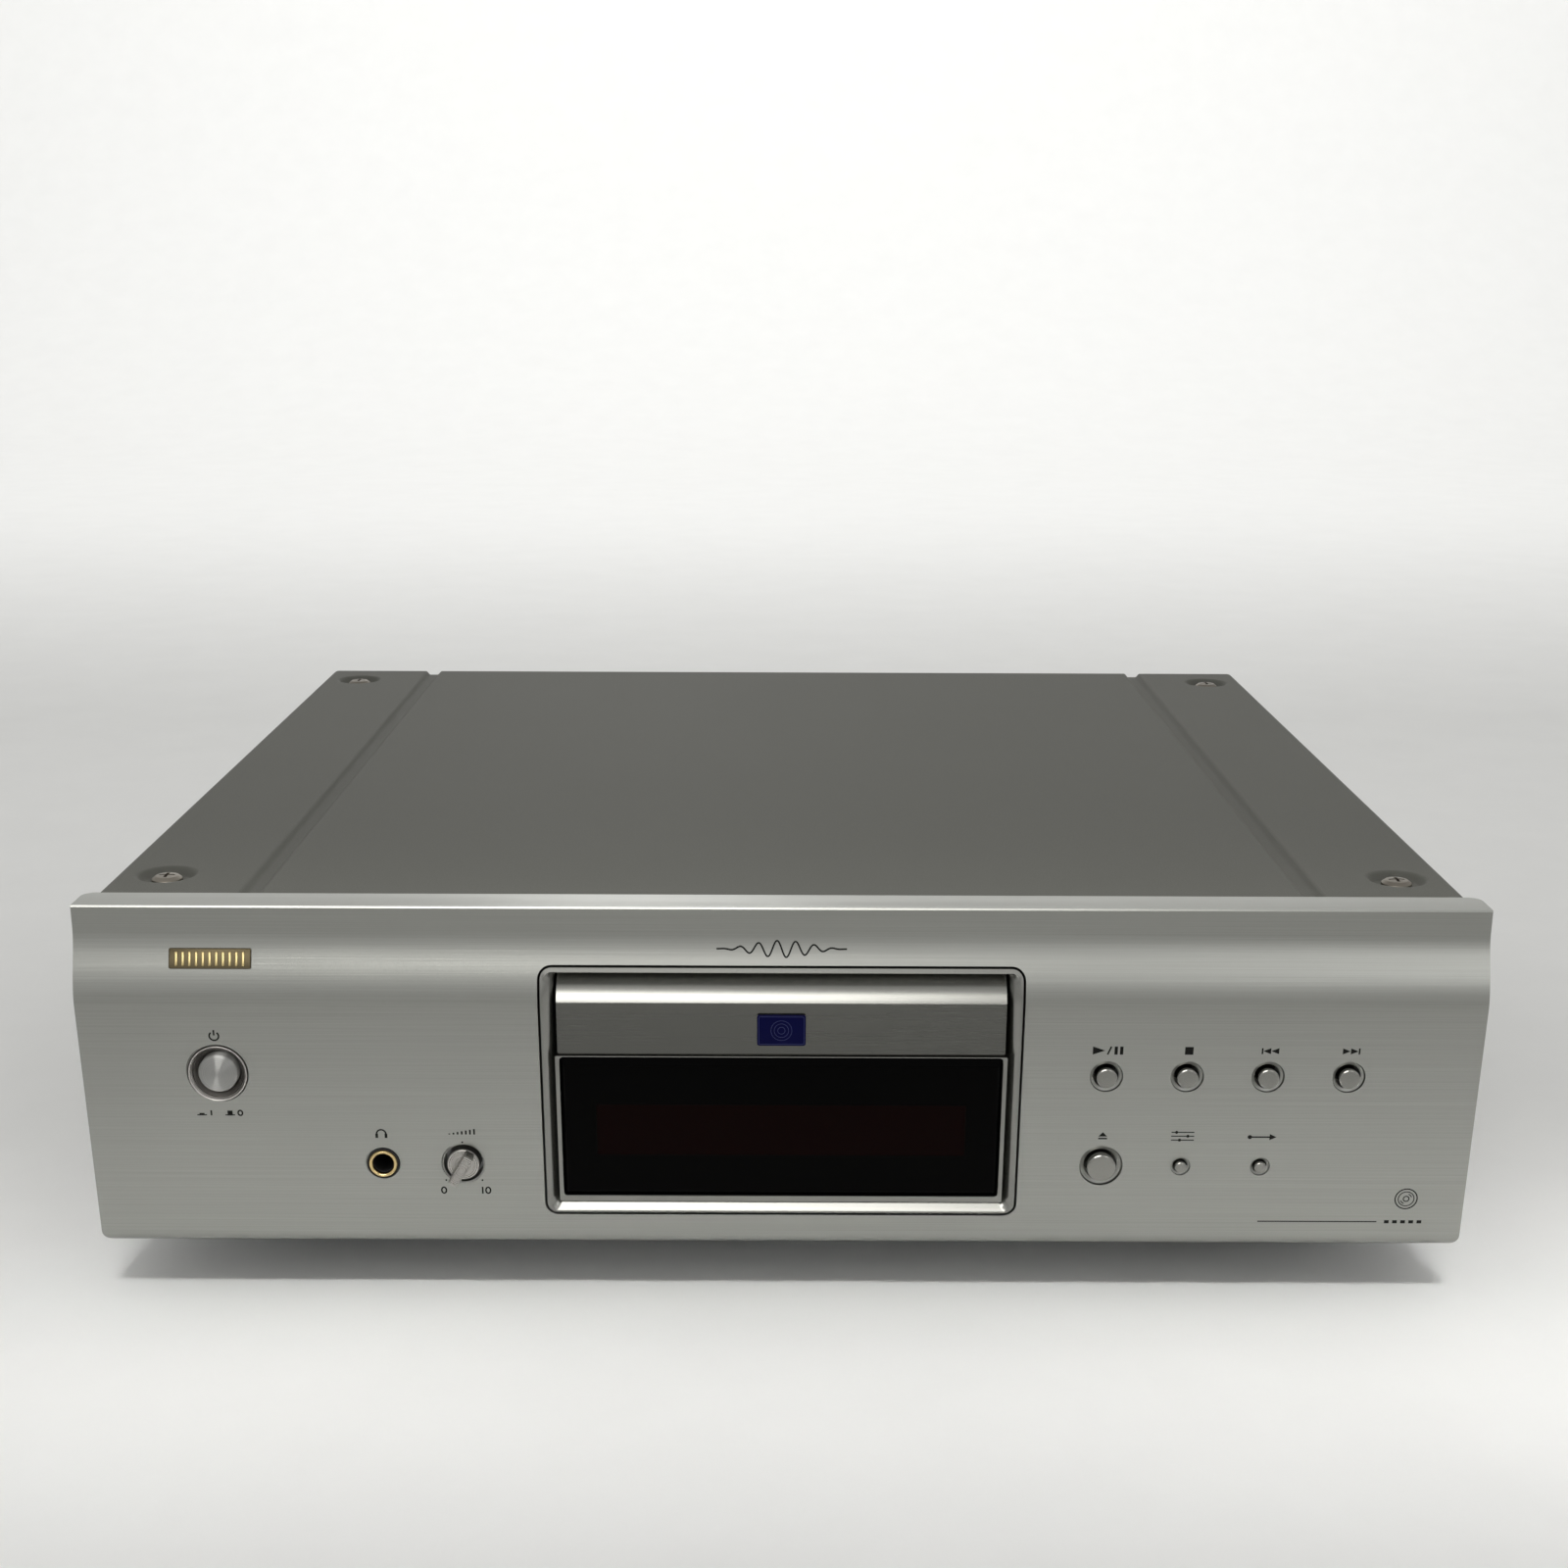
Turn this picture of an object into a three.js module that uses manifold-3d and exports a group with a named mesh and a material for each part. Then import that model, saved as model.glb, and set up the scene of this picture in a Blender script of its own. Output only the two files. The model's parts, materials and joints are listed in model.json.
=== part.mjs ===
// A full-width hi-fi disc player: an extruded aluminium front panel with a curved face, a folded
// steel cover, a sheet-metal chassis on four feet, and a front-loading disc mechanism.
// Millimetres. +X is the player's right as seen from the front, +Y runs to the rear, +Z is up.
// The origin is the middle of the footprint, on the surface that the feet stand on.
import * as THREE from "three";
import { mergeVertices } from "three/addons/utils/BufferGeometryUtils.js";
import Module from "manifold-3d";

const wasm = await Module();
wasm.setup();

// ---------------------------------------------------------------- driving dimensions
const GAP = 0.3; // clearance between pieces that touch

const PANEL_WIDTH = 434;
const PANEL_HEIGHT = 113;
const PANEL_DEPTH = 14; // along the flat top edge
const FOOT_HEIGHT = 18;
const FACE_Y = -196; // plane of the panel's top front edge
const REAR_Y = 196; // rear edge of the cover
const PANEL_BOTTOM = FOOT_HEIGHT;
const PANEL_TOP = PANEL_BOTTOM + PANEL_HEIGHT;
const PANEL_BACK = FACE_Y + PANEL_DEPTH;
const WALL_BACK = -191; // rear face of the panel's wall, inside its pocket

// The face leans out from the bottom to a shoulder, then sweeps back to the top edge.
const LEAN = 0.0646;
const SWEEP_TOP = 106; // heights above the panel's bottom
const SHOULDER = 82;
const BOTTOM_FILLET = 5;

const UPPER_ROW = 59.7; // control heights above the panel's bottom
const LOWER_ROW = 28.8;
const BUTTON_PITCH = 25.1;
const FIRST_BUTTON_X = 101;
const POWER_X = -175;
const PHONES_X = -125.5;
const LEVEL_X = -100.2;

const BEZEL = { halfWidth: 74.7, low: 11.3, high: 95.1, corner: 4 };
const DOOR = { halfWidth: 69.4, low: 66.3, crease: 83.5, back: -189.5 };
const WINDOW = { halfWidth: 69.5, low: 17.9, high: 65.6, back: -190.3 };

const COVER_WIDTH = 430;
const COVER_TOP = PANEL_TOP - 1;
const SHEET = 1.2; // steel sheet thickness
const COVER_INSIDE = COVER_WIDTH / 2 - SHEET; // half the width inside the cover
const GROOVE = { x: 166.5, halfWidth: 3.6, depth: 1.7 };
const SCREW_X = 198;
const SCREW_YS = { front: -157.5, rear: 174 };

const KNOB_REACH = 5.8; // the level knob's blade, in front of the face
const FOOT_X = 165;
const FOOT_YS = { front: -128, rear: 150 };
const FOOT_RADIUS = 25;

const TRAY_TRAVEL_START_Y = -189.2; // front of the tray, closed
const TRAY_REAR_Y = 11;
const TRAY = { halfWidth: 66, bottom: 94.5, top: 98.8 };
const DISC_Y = -122.5; // disc centre, tray closed
const DISC_RADIUS = 60.5;
const SMALL_DISC_RADIUS = 40.5;

const MODULE = 1; // gear module
const TRAY_TEETH = 20;
const PINION_TEETH = 12;
const GEAR_Y = -160;
const RACK_X = -56; // pitch line of the tray's rack
const MOTOR_X = 10;

// ---------------------------------------------------------------- helpers
const X = new THREE.Vector3(1, 0, 0);
const Y = new THREE.Vector3(0, 1, 0);
const Z = new THREE.Vector3(0, 0, 1);

const faceBulge = (height) => {
  const u = THREE.MathUtils.clamp((SWEEP_TOP - height) / (SWEEP_TOP - SHOULDER), 0, 1);
  return LEAN * height * u * u * (3 - 2 * u);
};
const faceY = (height) => FACE_Y - faceBulge(height);

function toSolid(geometry) {
  const bare = geometry.index ? geometry.toNonIndexed() : geometry.clone();
  bare.deleteAttribute("normal");
  bare.deleteAttribute("uv");
  const merged = mergeVertices(bare, 1e-3);
  return new wasm.Manifold(
    new wasm.Mesh({
      numProp: 3,
      vertProperties: merged.attributes.position.array,
      triVerts: new Uint32Array(merged.index.array),
    }),
  );
}

function toGeometry(solid) {
  const mesh = solid.getMesh();
  return new THREE.BufferGeometry()
    .setAttribute("position", new THREE.BufferAttribute(mesh.vertProperties, 3))
    .setIndex(new THREE.BufferAttribute(mesh.triVerts, 1));
}

const join = (first, ...others) =>
  toGeometry(others.reduce((sum, g) => sum.add(toSolid(g)), toSolid(first)));
const cut = (first, ...others) =>
  toGeometry(others.reduce((rest, g) => rest.subtract(toSolid(g)), toSolid(first)));
const common = (first, second) => toGeometry(toSolid(first).intersect(toSolid(second)));

function box(x0, x1, y0, y1, z0, z1) {
  return new THREE.BoxGeometry(x1 - x0, y1 - y0, z1 - z0).translate(
    (x0 + x1) / 2,
    (y0 + y1) / 2,
    (z0 + z1) / 2,
  );
}

const polygon = (points) => new THREE.Shape(points.map(([a, b]) => new THREE.Vector2(a, b)));

function extrude(shape, depth, curveSegments = 6) {
  return new THREE.ExtrudeGeometry(shape, { depth, bevelEnabled: false, curveSegments });
}

// A shape drawn in (y, z), swept along X.
function alongX(shape, x0, x1, curveSegments) {
  return extrude(shape, x1 - x0, curveSegments)
    .applyMatrix4(new THREE.Matrix4().makeBasis(Y, Z, X))
    .translate(x0, 0, 0);
}

// A shape drawn in (x, z), as seen from the front, swept along Y.
function alongY(shape, y0, y1, curveSegments) {
  return extrude(shape, y1 - y0, curveSegments)
    .applyMatrix4(new THREE.Matrix4().makeBasis(X, Z, Y.clone().negate()))
    .translate(0, y1, 0);
}

// A shape drawn in (x, y), swept up along Z.
const alongZ = (shape, z0, z1, curveSegments) =>
  extrude(shape, z1 - z0, curveSegments).translate(0, 0, z0);

function roundedRectangle(x0, x1, z0, z1, radius) {
  const shape = new THREE.Shape();
  shape.moveTo(x0 + radius, z0);
  shape.lineTo(x1 - radius, z0);
  shape.absarc(x1 - radius, z0 + radius, radius, -Math.PI / 2, 0);
  shape.lineTo(x1, z1 - radius);
  shape.absarc(x1 - radius, z1 - radius, radius, 0, Math.PI / 2);
  shape.lineTo(x0 + radius, z1);
  shape.absarc(x0 + radius, z1 - radius, radius, Math.PI / 2, Math.PI);
  shape.lineTo(x0, z0 + radius);
  shape.absarc(x0 + radius, z0 + radius, radius, Math.PI, 1.5 * Math.PI);
  return shape;
}

// A turned piece: profile points are [radius, height], from the axis at one end to the other.
function turned(profile, segments = 24) {
  return new THREE.LatheGeometry(
    profile.map(([radius, height]) => new THREE.Vector2(radius, height)),
    segments,
  );
}
const turnedUp = (profile, segments) => turned(profile, segments).rotateX(Math.PI / 2);
const turnedForward = (profile, segments) => turned(profile, segments).rotateX(Math.PI);

const rodY = (x, z, radius, y0, y1, segments = 16) =>
  new THREE.CylinderGeometry(radius, radius, y1 - y0, segments).translate(x, (y0 + y1) / 2, z);
const rodZ = (x, y, radius, z0, z1, segments = 24) =>
  new THREE.CylinderGeometry(radius, radius, z1 - z0, segments)
    .rotateX(Math.PI / 2)
    .translate(x, y, (z0 + z1) / 2);

const part = new THREE.Group();

const material = (color, roughness, metalness) =>
  new THREE.MeshStandardMaterial({ color, roughness, metalness, flatShading: true });
const MATERIALS = {
  brushedAluminium: material(0x9a9b95, 0.38, 1),
  coverPaint: material(0x6b6c67, 0.55, 0.5),
  steel: material(0xa8aaa8, 0.45, 1),
  satinSilver: material(0x8c8d88, 0.3, 1),
  buttonSilver: material(0xa5a49f, 0.3, 1),
  warmSilver: material(0x7d7673, 0.35, 1),
  smokedAcrylic: material(0x050606, 0.05, 0),
  bronze: material(0x7c7058, 0.4, 1),
  gold: material(0xc9b072, 0.2, 1),
  blackPlastic: material(0x161616, 0.5, 0),
  whitePlastic: material(0xd8d6cc, 0.5, 0),
  emblemBlue: material(0x0a0a5c, 0.25, 0),
  circuitBoard: material(0x2c5a34, 0.6, 0),
  displayGlass: material(0x2a2422, 0.1, 0),
  rubber: material(0x1d1d1d, 0.85, 0),
  transformerPaint: material(0x2b2f36, 0.5, 0.6),
  zinc: material(0x8f8a7a, 0.4, 1),
};

function add(name, geometry, materialUsed, position = [0, 0, 0], parent = part) {
  const mesh = new THREE.Mesh(geometry, materialUsed);
  mesh.name = name;
  mesh.position.set(...position);
  parent.add(mesh);
  return mesh;
}

// ---------------------------------------------------------------- front panel
// The face outline from the top edge down to the start of the bottom fillet, as [y, z] pairs.
function faceOutline(highest, lowest, steps) {
  const bends = [SWEEP_TOP, SHOULDER].filter((h) => h < highest && h > lowest);
  const heights = [highest];
  if (bends.length === 2) {
    for (let i = 0; i <= steps; i++)
      heights.push(THREE.MathUtils.lerp(SWEEP_TOP, SHOULDER, i / steps));
  } else if (highest > SHOULDER) {
    for (let i = 1; i <= steps; i++) heights.push(THREE.MathUtils.lerp(highest, SHOULDER, i / steps));
  }
  heights.push(lowest);
  return heights.map((h) => [faceY(h), PANEL_BOTTOM + h]);
}

function panelBlank() {
  const filletY = faceY(BOTTOM_FILLET) + BOTTOM_FILLET;
  const fillet = [1, 2, 3, 4].map((i) => {
    const angle = (i / 4) * (Math.PI / 2);
    return [
      filletY - BOTTOM_FILLET * Math.cos(angle),
      PANEL_BOTTOM + BOTTOM_FILLET * (1 - Math.sin(angle)),
    ];
  });
  const side = polygon([
    [PANEL_BACK, PANEL_TOP],
    ...faceOutline(PANEL_HEIGHT, BOTTOM_FILLET, 8),
    ...fillet,
    [PANEL_BACK, PANEL_BOTTOM],
  ]);
  return alongX(side, -PANEL_WIDTH / 2, PANEL_WIDTH / 2);
}

// The panel seen from the front: square at the top, with rounded bottom corners.
function panelOutline() {
  const half = PANEL_WIDTH / 2;
  const radius = 4.5;
  const shape = new THREE.Shape();
  shape.moveTo(-half + radius, PANEL_BOTTOM);
  shape.lineTo(half - radius, PANEL_BOTTOM);
  shape.absarc(half - radius, PANEL_BOTTOM + radius, radius, -Math.PI / 2, 0);
  shape.lineTo(half, PANEL_TOP);
  shape.lineTo(-half, PANEL_TOP);
  shape.lineTo(-half, PANEL_BOTTOM + radius);
  shape.absarc(-half + radius, PANEL_BOTTOM + radius, radius, Math.PI, 1.5 * Math.PI);
  return shape;
}

// The panel seen from above: its rear vertical corners are rounded.
function panelPlan() {
  const half = PANEL_WIDTH / 2;
  const radius = 4;
  const shape = new THREE.Shape();
  shape.moveTo(-half, -210);
  shape.lineTo(half, -210);
  shape.lineTo(half, PANEL_BACK - radius);
  shape.absarc(half - radius, PANEL_BACK - radius, radius, 0, Math.PI / 2);
  shape.lineTo(-half + radius, PANEL_BACK);
  shape.absarc(-half + radius, PANEL_BACK - radius, radius, Math.PI / 2, Math.PI);
  return shape;
}

const BUTTON_XS = [0, 1, 2, 3].map((i) => FIRST_BUTTON_X + i * BUTTON_PITCH);
// Every round control: where it is, its hole, and the countersink at the face.
const CONTROLS = {
  power: { x: POWER_X, row: UPPER_ROW, hole: 9.8, sink: 9.8 },
  phones: { x: PHONES_X, row: LOWER_ROW, hole: 5.4, sink: 5.4 },
  level: { x: LEVEL_X, row: LOWER_ROW, hole: 6.5, sink: 6.5 },
  play: { x: BUTTON_XS[0], row: UPPER_ROW, hole: 3.8, sink: 5.1 },
  stop: { x: BUTTON_XS[1], row: UPPER_ROW, hole: 3.8, sink: 5.1 },
  previous: { x: BUTTON_XS[2], row: UPPER_ROW, hole: 3.8, sink: 5.1 },
  next: { x: BUTTON_XS[3], row: UPPER_ROW, hole: 3.8, sink: 5.1 },
  eject: { x: BUTTON_XS[0], row: LOWER_ROW, hole: 5, sink: 6.8 },
  setup: { x: BUTTON_XS[1], row: LOWER_ROW, hole: 2.3, sink: 3.1 },
  direct: { x: BUTTON_XS[2], row: LOWER_ROW, hole: 2.3, sink: 3.1 },
};
const controlOrigin = ({ x, row }) => [x, faceY(row), PANEL_BOTTOM + row];

function controlCutter(control) {
  const { hole, sink } = control;
  const deep = -12;
  const clear = 3;
  const profile =
    sink > hole
      ? [[0, deep], [hole, deep], [hole, hole - sink - 0.2], [sink, -0.2], [sink, clear], [0, clear]]
      : [[0, deep], [hole, deep], [hole, clear], [0, clear]];
  return turnedForward(profile, 20).translate(...controlOrigin(control));
}

{
  const pocket = box(-206, 206, WALL_BACK, PANEL_BACK + 1, PANEL_BOTTOM + 6, PANEL_TOP - 6);
  const opening = alongY(
    roundedRectangle(
      -BEZEL.halfWidth,
      BEZEL.halfWidth,
      PANEL_BOTTOM + BEZEL.low,
      PANEL_BOTTOM + BEZEL.high,
      BEZEL.corner,
    ),
    -210,
    -180,
    3,
  );
  const outline = alongY(panelOutline(), -210, -180, 4);
  const plan = alongZ(panelPlan(), PANEL_BOTTOM - 5, PANEL_TOP + 5, 5);
  const panel = cut(
    common(common(panelBlank(), outline), plan),
    pocket,
    opening,
    ...Object.values(CONTROLS).map(controlCutter),
  );
  add("front_panel", panel, MATERIALS.brushedAluminium);
}

// ---------------------------------------------------------------- tray bezel, window and badge
// A block between two rectangles [x half width, low z, high z] at depths yFront and yBack.
function taper(yFront, front, yBack, back) {
  const corners = ([half, low, high], y) => [
    [-half, y, low],
    [half, y, low],
    [half, y, high],
    [-half, y, high],
  ];
  const points = [...corners(front, yFront), ...corners(back, yBack)].flat();
  const faces = [0, 1, 2, 0, 2, 3, 4, 6, 5, 4, 7, 6];
  for (let i = 0; i < 4; i++) {
    const j = (i + 1) % 4;
    faces.push(i, i + 4, j + 4, i, j + 4, j);
  }
  return new THREE.BufferGeometry()
    .setAttribute("position", new THREE.Float32BufferAttribute(points, 3))
    .setIndex(faces);
}

{
  const half = BEZEL.halfWidth - GAP;
  const low = BEZEL.low + GAP;
  const high = BEZEL.high - GAP;
  const ledge = -189.8; // the window rests against this plane
  const back = -186.4;
  const side = polygon([
    [back, PANEL_BOTTOM + high],
    ...faceOutline(high, low, 5),
    [back, PANEL_BOTTOM + low],
  ]);
  const outline = alongY(
    roundedRectangle(-half, half, PANEL_BOTTOM + low, PANEL_BOTTOM + high, BEZEL.corner - GAP),
    -210,
    -180,
    3,
  );
  const opening = 69.9;
  const frontOpening = box(-opening, opening, -210, ledge, PANEL_BOTTOM + 17.6, PANEL_BOTTOM + 92.6);
  const doorOpening = box(-opening, opening, -210, -180, PANEL_BOTTOM + 66, PANEL_BOTTOM + 92.6);
  const displayOpening = box(-62, 62, -210, -180, PANEL_BOTTOM + 30, PANEL_BOTTOM + 52);
  // A sloping channel runs inside the rim; a raised lip inside it frames the window.
  const channel = taper(
    -203,
    [74.3, PANEL_BOTTOM + 5.8, PANEL_BOTTOM + 95],
    -194,
    [71.6, PANEL_BOTTOM + 15.7, PANEL_BOTTOM + 92.6],
  );
  const lip = box(-71.5, 71.5, -205, -190, PANEL_BOTTOM + 15.9, PANEL_BOTTOM + 66);
  const rim = common(alongX(side, -half, half), outline);
  add(
    "tray_bezel",
    cut(rim, cut(channel, lip), frontOpening, doorOpening, displayOpening),
    MATERIALS.satinSilver,
  );
}

{
  const { halfWidth, low, high, back } = WINDOW;
  const facet = 4.1;
  const proud = 0.9;
  const side = polygon([
    [back, low],
    [back, high],
    [faceY(high) + 1.6, high],
    [faceY(high - facet) - proud, high - facet],
    [faceY(low + facet) - proud, low + facet],
    [faceY(low) + 0.8, low],
  ]);
  add(
    "display_window",
    alongX(side, -halfWidth, halfWidth).translate(0, 0, PANEL_BOTTOM),
    MATERIALS.smokedAcrylic,
  );
}

{
  const [width, thickness, height] = [25.2, 1.2, 6];
  const middle = 96.7;
  const slope = Math.atan((faceY(middle + 3) - faceY(middle - 3)) / 6);
  const plate = alongY(
    roundedRectangle(-width / 2, width / 2, -height / 2, height / 2, 0.5),
    -thickness,
    0,
    2,
  );
  const badge = add("badge_plate", plate, MATERIALS.bronze, [
    POWER_X,
    faceY(middle) - 0.45,
    PANEL_BOTTOM + middle,
  ]);
  badge.rotation.x = -slope;
}

// ---------------------------------------------------------------- round controls
// A push cap: its face stands out by `reach`, and a flange behind the wall keeps it in.
function pushCap({ reach, radius, faceRadius, flange, row, segments = 24 }) {
  const behind = faceY(row) - (WALL_BACK + GAP); // negative heights run behind the face
  return turnedForward(
    [
      [0, behind - 1.4],
      [flange, behind - 1.4],
      [flange, behind],
      [radius, behind],
      [radius, reach - 0.5],
      [faceRadius, reach],
      [0, reach],
    ],
    segments,
  );
}

const TRANSPORT_CAP = { reach: 1.6, radius: 3.45, faceRadius: 3.05, flange: 6.2, segments: 20 };
const SMALL_CAP = { reach: 1.2, radius: 1.95, faceRadius: 1.7, flange: 3.8, segments: 16 };
const CAPS = {
  power: { reach: 0.4, radius: 6.1, faceRadius: 5.4, flange: 8.2 },
  play: TRANSPORT_CAP,
  stop: TRANSPORT_CAP,
  previous: TRANSPORT_CAP,
  next: TRANSPORT_CAP,
  eject: { reach: 1.8, radius: 4.65, faceRadius: 4.25, flange: 7.2, segments: 20 },
  setup: SMALL_CAP,
  direct: SMALL_CAP,
};
for (const [name, cap] of Object.entries(CAPS))
  add(
    `${name}_button`,
    pushCap({ ...cap, row: CONTROLS[name].row }),
    MATERIALS.buttonSilver,
    controlOrigin(CONTROLS[name]),
  );

add(
  "power_ring",
  turnedForward(
    [
      [6.5, -8.4],
      [9.5, -8.4],
      [9.5, 0.2],
      [9.2, 0.5],
      [8.8, 0.3],
      [6.5, -3.3],
      [6.5, -8.4],
    ],
    28,
  ),
  MATERIALS.warmSilver,
  controlOrigin(CONTROLS.power),
);

{
  const wall = faceY(LOWER_ROW) - WALL_BACK; // height of the wall's rear face, from the face
  const bore = 3.25;
  const length = 24;
  add(
    "headphone_jack",
    turnedForward(
      [
        [0, wall - length],
        [7.5, wall - length],
        [7.5, wall - GAP],
        [5.1, wall - GAP],
        [5.1, -0.2],
        [4.8, -0.2],
        [4.8, -1.2],
        [bore, -1.2],
        [bore, wall - length + 3],
        [0, wall - length + 3],
      ],
      24,
    ),
    MATERIALS.blackPlastic,
    controlOrigin(CONTROLS.phones),
  );
  add(
    "headphone_jack_ring",
    turnedForward([[bore, -0.9], [4.5, -0.9], [4.5, 0.2], [4.1, 0.6], [3.6, 0.6], [bore, 0.2], [bore, -0.9]], 24),
    MATERIALS.gold,
    controlOrigin(CONTROLS.phones),
  );
}

{
  // The pointer blade lies on the MIN mark, 30 degrees left of straight down.
  const rear = faceY(LOWER_ROW) - (WALL_BACK + 0.2);
  const shaftBore = 3.2;
  const disc = turnedForward(
    [
      [shaftBore, rear],
      [5.2, rear],
      [5.2, 0.4],
      [4.9, 0.8],
      [0, 0.8],
      [0, rear + 5],
      [shaftBore, rear + 5],
      [shaftBore, rear],
    ],
    24,
  );
  const blade = box(-1.6, 1.6, -KNOB_REACH, -0.6, -6.4, 5.1);
  const knob = add(
    "level_knob",
    join(disc, blade),
    MATERIALS.buttonSilver,
    controlOrigin(CONTROLS.level),
  );
  knob.rotation.y = THREE.MathUtils.degToRad(30);

  const potFront = WALL_BACK + 0.6;
  const [x, , z] = controlOrigin(CONTROLS.level);
  const body = rodY(x, z, 8, potFront, potFront + 5.4, 20);
  const shaft = rodY(x, z, shaftBore - GAP, potFront - 4, potFront + 1, 16);
  add("level_control", join(body, shaft), MATERIALS.steel);
}

// ---------------------------------------------------------------- boards behind the panel
const BOARD_BACK = -183.3;
const BOARD_FRONT = BOARD_BACK - 1.6;
{
  const upper = PANEL_BOTTOM + UPPER_ROW;
  const lower = PANEL_BOTTOM + LOWER_ROW;
  const plate = box(92, 186, BOARD_FRONT, BOARD_BACK, lower - 10, upper + 9);
  const switches = ["play", "stop", "previous", "next", "eject", "setup", "direct"].map((name) => {
    const [x, , z] = controlOrigin(CONTROLS[name]);
    return box(x - 3, x + 3, BOARD_FRONT - 2.9, BOARD_FRONT + 0.5, z - 3, z + 3);
  });
  add("key_board", join(plate, ...switches), MATERIALS.circuitBoard);

  add(
    "headphone_board",
    cut(
      box(-137, -86, BOARD_FRONT + 0.5, BOARD_BACK + 0.5, lower - 11, lower + 11),
      rodY(PHONES_X, lower, 8, -190, -180, 20),
    ),
    MATERIALS.circuitBoard,
  );

  const switchFront = BOARD_FRONT + 0.4;
  add(
    "power_switch",
    join(
      box(POWER_X - 9, POWER_X + 9, switchFront, -158, upper - 8, upper + 8),
      box(POWER_X - 5, POWER_X + 5, -158, -150, upper - 4, upper + 4),
    ),
    MATERIALS.blackPlastic,
  );

  add(
    "fluorescent_display",
    box(-60, 60, -189.9, -186.1, PANEL_BOTTOM + 32, PANEL_BOTTOM + 50),
    MATERIALS.displayGlass,
  );
  add(
    "display_board",
    box(-72, 72, BOARD_FRONT - 0.9, BOARD_BACK - 0.9, PANEL_BOTTOM + 16, PANEL_BOTTOM + 62),
    MATERIALS.circuitBoard,
  );
}

{
  const y0 = PANEL_BACK + 0.6;
  const lower = PANEL_BOTTOM + LOWER_ROW;
  const upper = PANEL_BOTTOM + UPPER_ROW;
  const plate = box(-208, 208, y0, y0 + SHEET, 20, 126);
  const trayOpening = box(-77, 77, y0 - 5, y0 + 5, 58, 112);
  const jackHole = rodY(PHONES_X, lower, 8.4, y0 - 5, y0 + 5, 20);
  const switchHole = box(POWER_X - 10, POWER_X + 10, y0 - 5, y0 + 5, upper - 9, upper + 9);
  const footFlange = box(-76, 76, y0, y0 + 12, 20, 21.2);
  add(
    "front_bracket",
    join(cut(plate, trayOpening, jackHole, switchHole), footFlange),
    MATERIALS.steel,
  );
}

// ---------------------------------------------------------------- cover
// The cover's cross-section in (x, z): a folded sheet with two pressed grooves along the top.
function coverSection() {
  const half = COVER_WIDTH / 2;
  const bend = 3.2;
  const bottom = 19.6;
  // The sheet's line from the right skirt over the top to the left skirt, `inset` below the skin.
  const line = (inset) => {
    const points = [[half - inset, bottom]];
    const radius = Math.max(bend - inset, 0.5);
    for (let i = 0; i <= 4; i++) {
      const angle = (i / 4) * (Math.PI / 2);
      points.push([
        half - inset - radius * (1 - Math.cos(angle)),
        COVER_TOP - inset - radius * (1 - Math.sin(angle)),
      ]);
    }
    const groove = [
      [GROOVE.halfWidth, 0],
      [GROOVE.halfWidth * 0.55, -GROOVE.depth],
      [-GROOVE.halfWidth * 0.55, -GROOVE.depth],
      [-GROOVE.halfWidth, 0],
    ];
    for (const centre of [GROOVE.x, -GROOVE.x])
      for (const [dx, dz] of groove) points.push([centre + dx, COVER_TOP - inset + dz]);
    for (let i = 4; i >= 0; i--) {
      const angle = (i / 4) * (Math.PI / 2);
      points.push([
        -half + inset + radius * (1 - Math.cos(angle)),
        COVER_TOP - inset - radius * (1 - Math.sin(angle)),
      ]);
    }
    points.push([-half + inset, bottom]);
    return points;
  };
  return polygon([...line(0), ...line(SHEET).reverse()]);
}

const COVER_CORNERS = ["front", "rear"].flatMap((end) =>
  ["left", "right"].map((side) => ({
    name: `${end}_${side}`,
    x: side === "left" ? -SCREW_X : SCREW_X,
    y: SCREW_YS[end],
  })),
);
{
  const depth = 2.4; // of each pressed screw dimple
  const cup = (offset) =>
    turnedUp(
      [
        [0, -depth - offset],
        [7, -depth - offset],
        [9.8, -offset / 2],
        [9.8, 1 - offset],
        [0, 1 - offset],
      ],
      24,
    );
  let cover = alongY(coverSection(), PANEL_BACK + GAP, REAR_Y, 4);
  const at = (geometry, { x, y }) => geometry.translate(x, y, COVER_TOP);
  cover = join(cover, ...COVER_CORNERS.map((corner) => at(cup(SHEET), corner)));
  cover = cut(
    cover,
    ...COVER_CORNERS.map((corner) => at(cup(0), corner)),
    ...COVER_CORNERS.map(({ x, y }) => rodZ(x, y, 2.6, COVER_TOP - 8, COVER_TOP, 12)),
  );
  add("top_cover", cover, MATERIALS.coverPaint);

  const seat = COVER_TOP - depth + GAP;
  for (const { name, x, y } of COVER_CORNERS)
    add(
      `cover_screw_${name}`,
      turnedUp([[0, -9], [1.9, -8], [1.9, 0], [4.9, 0], [4.9, 0.9], [3.2, 1.9], [0, 2.1]], 16),
      MATERIALS.zinc,
      [x, y, seat],
    );
}

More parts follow.
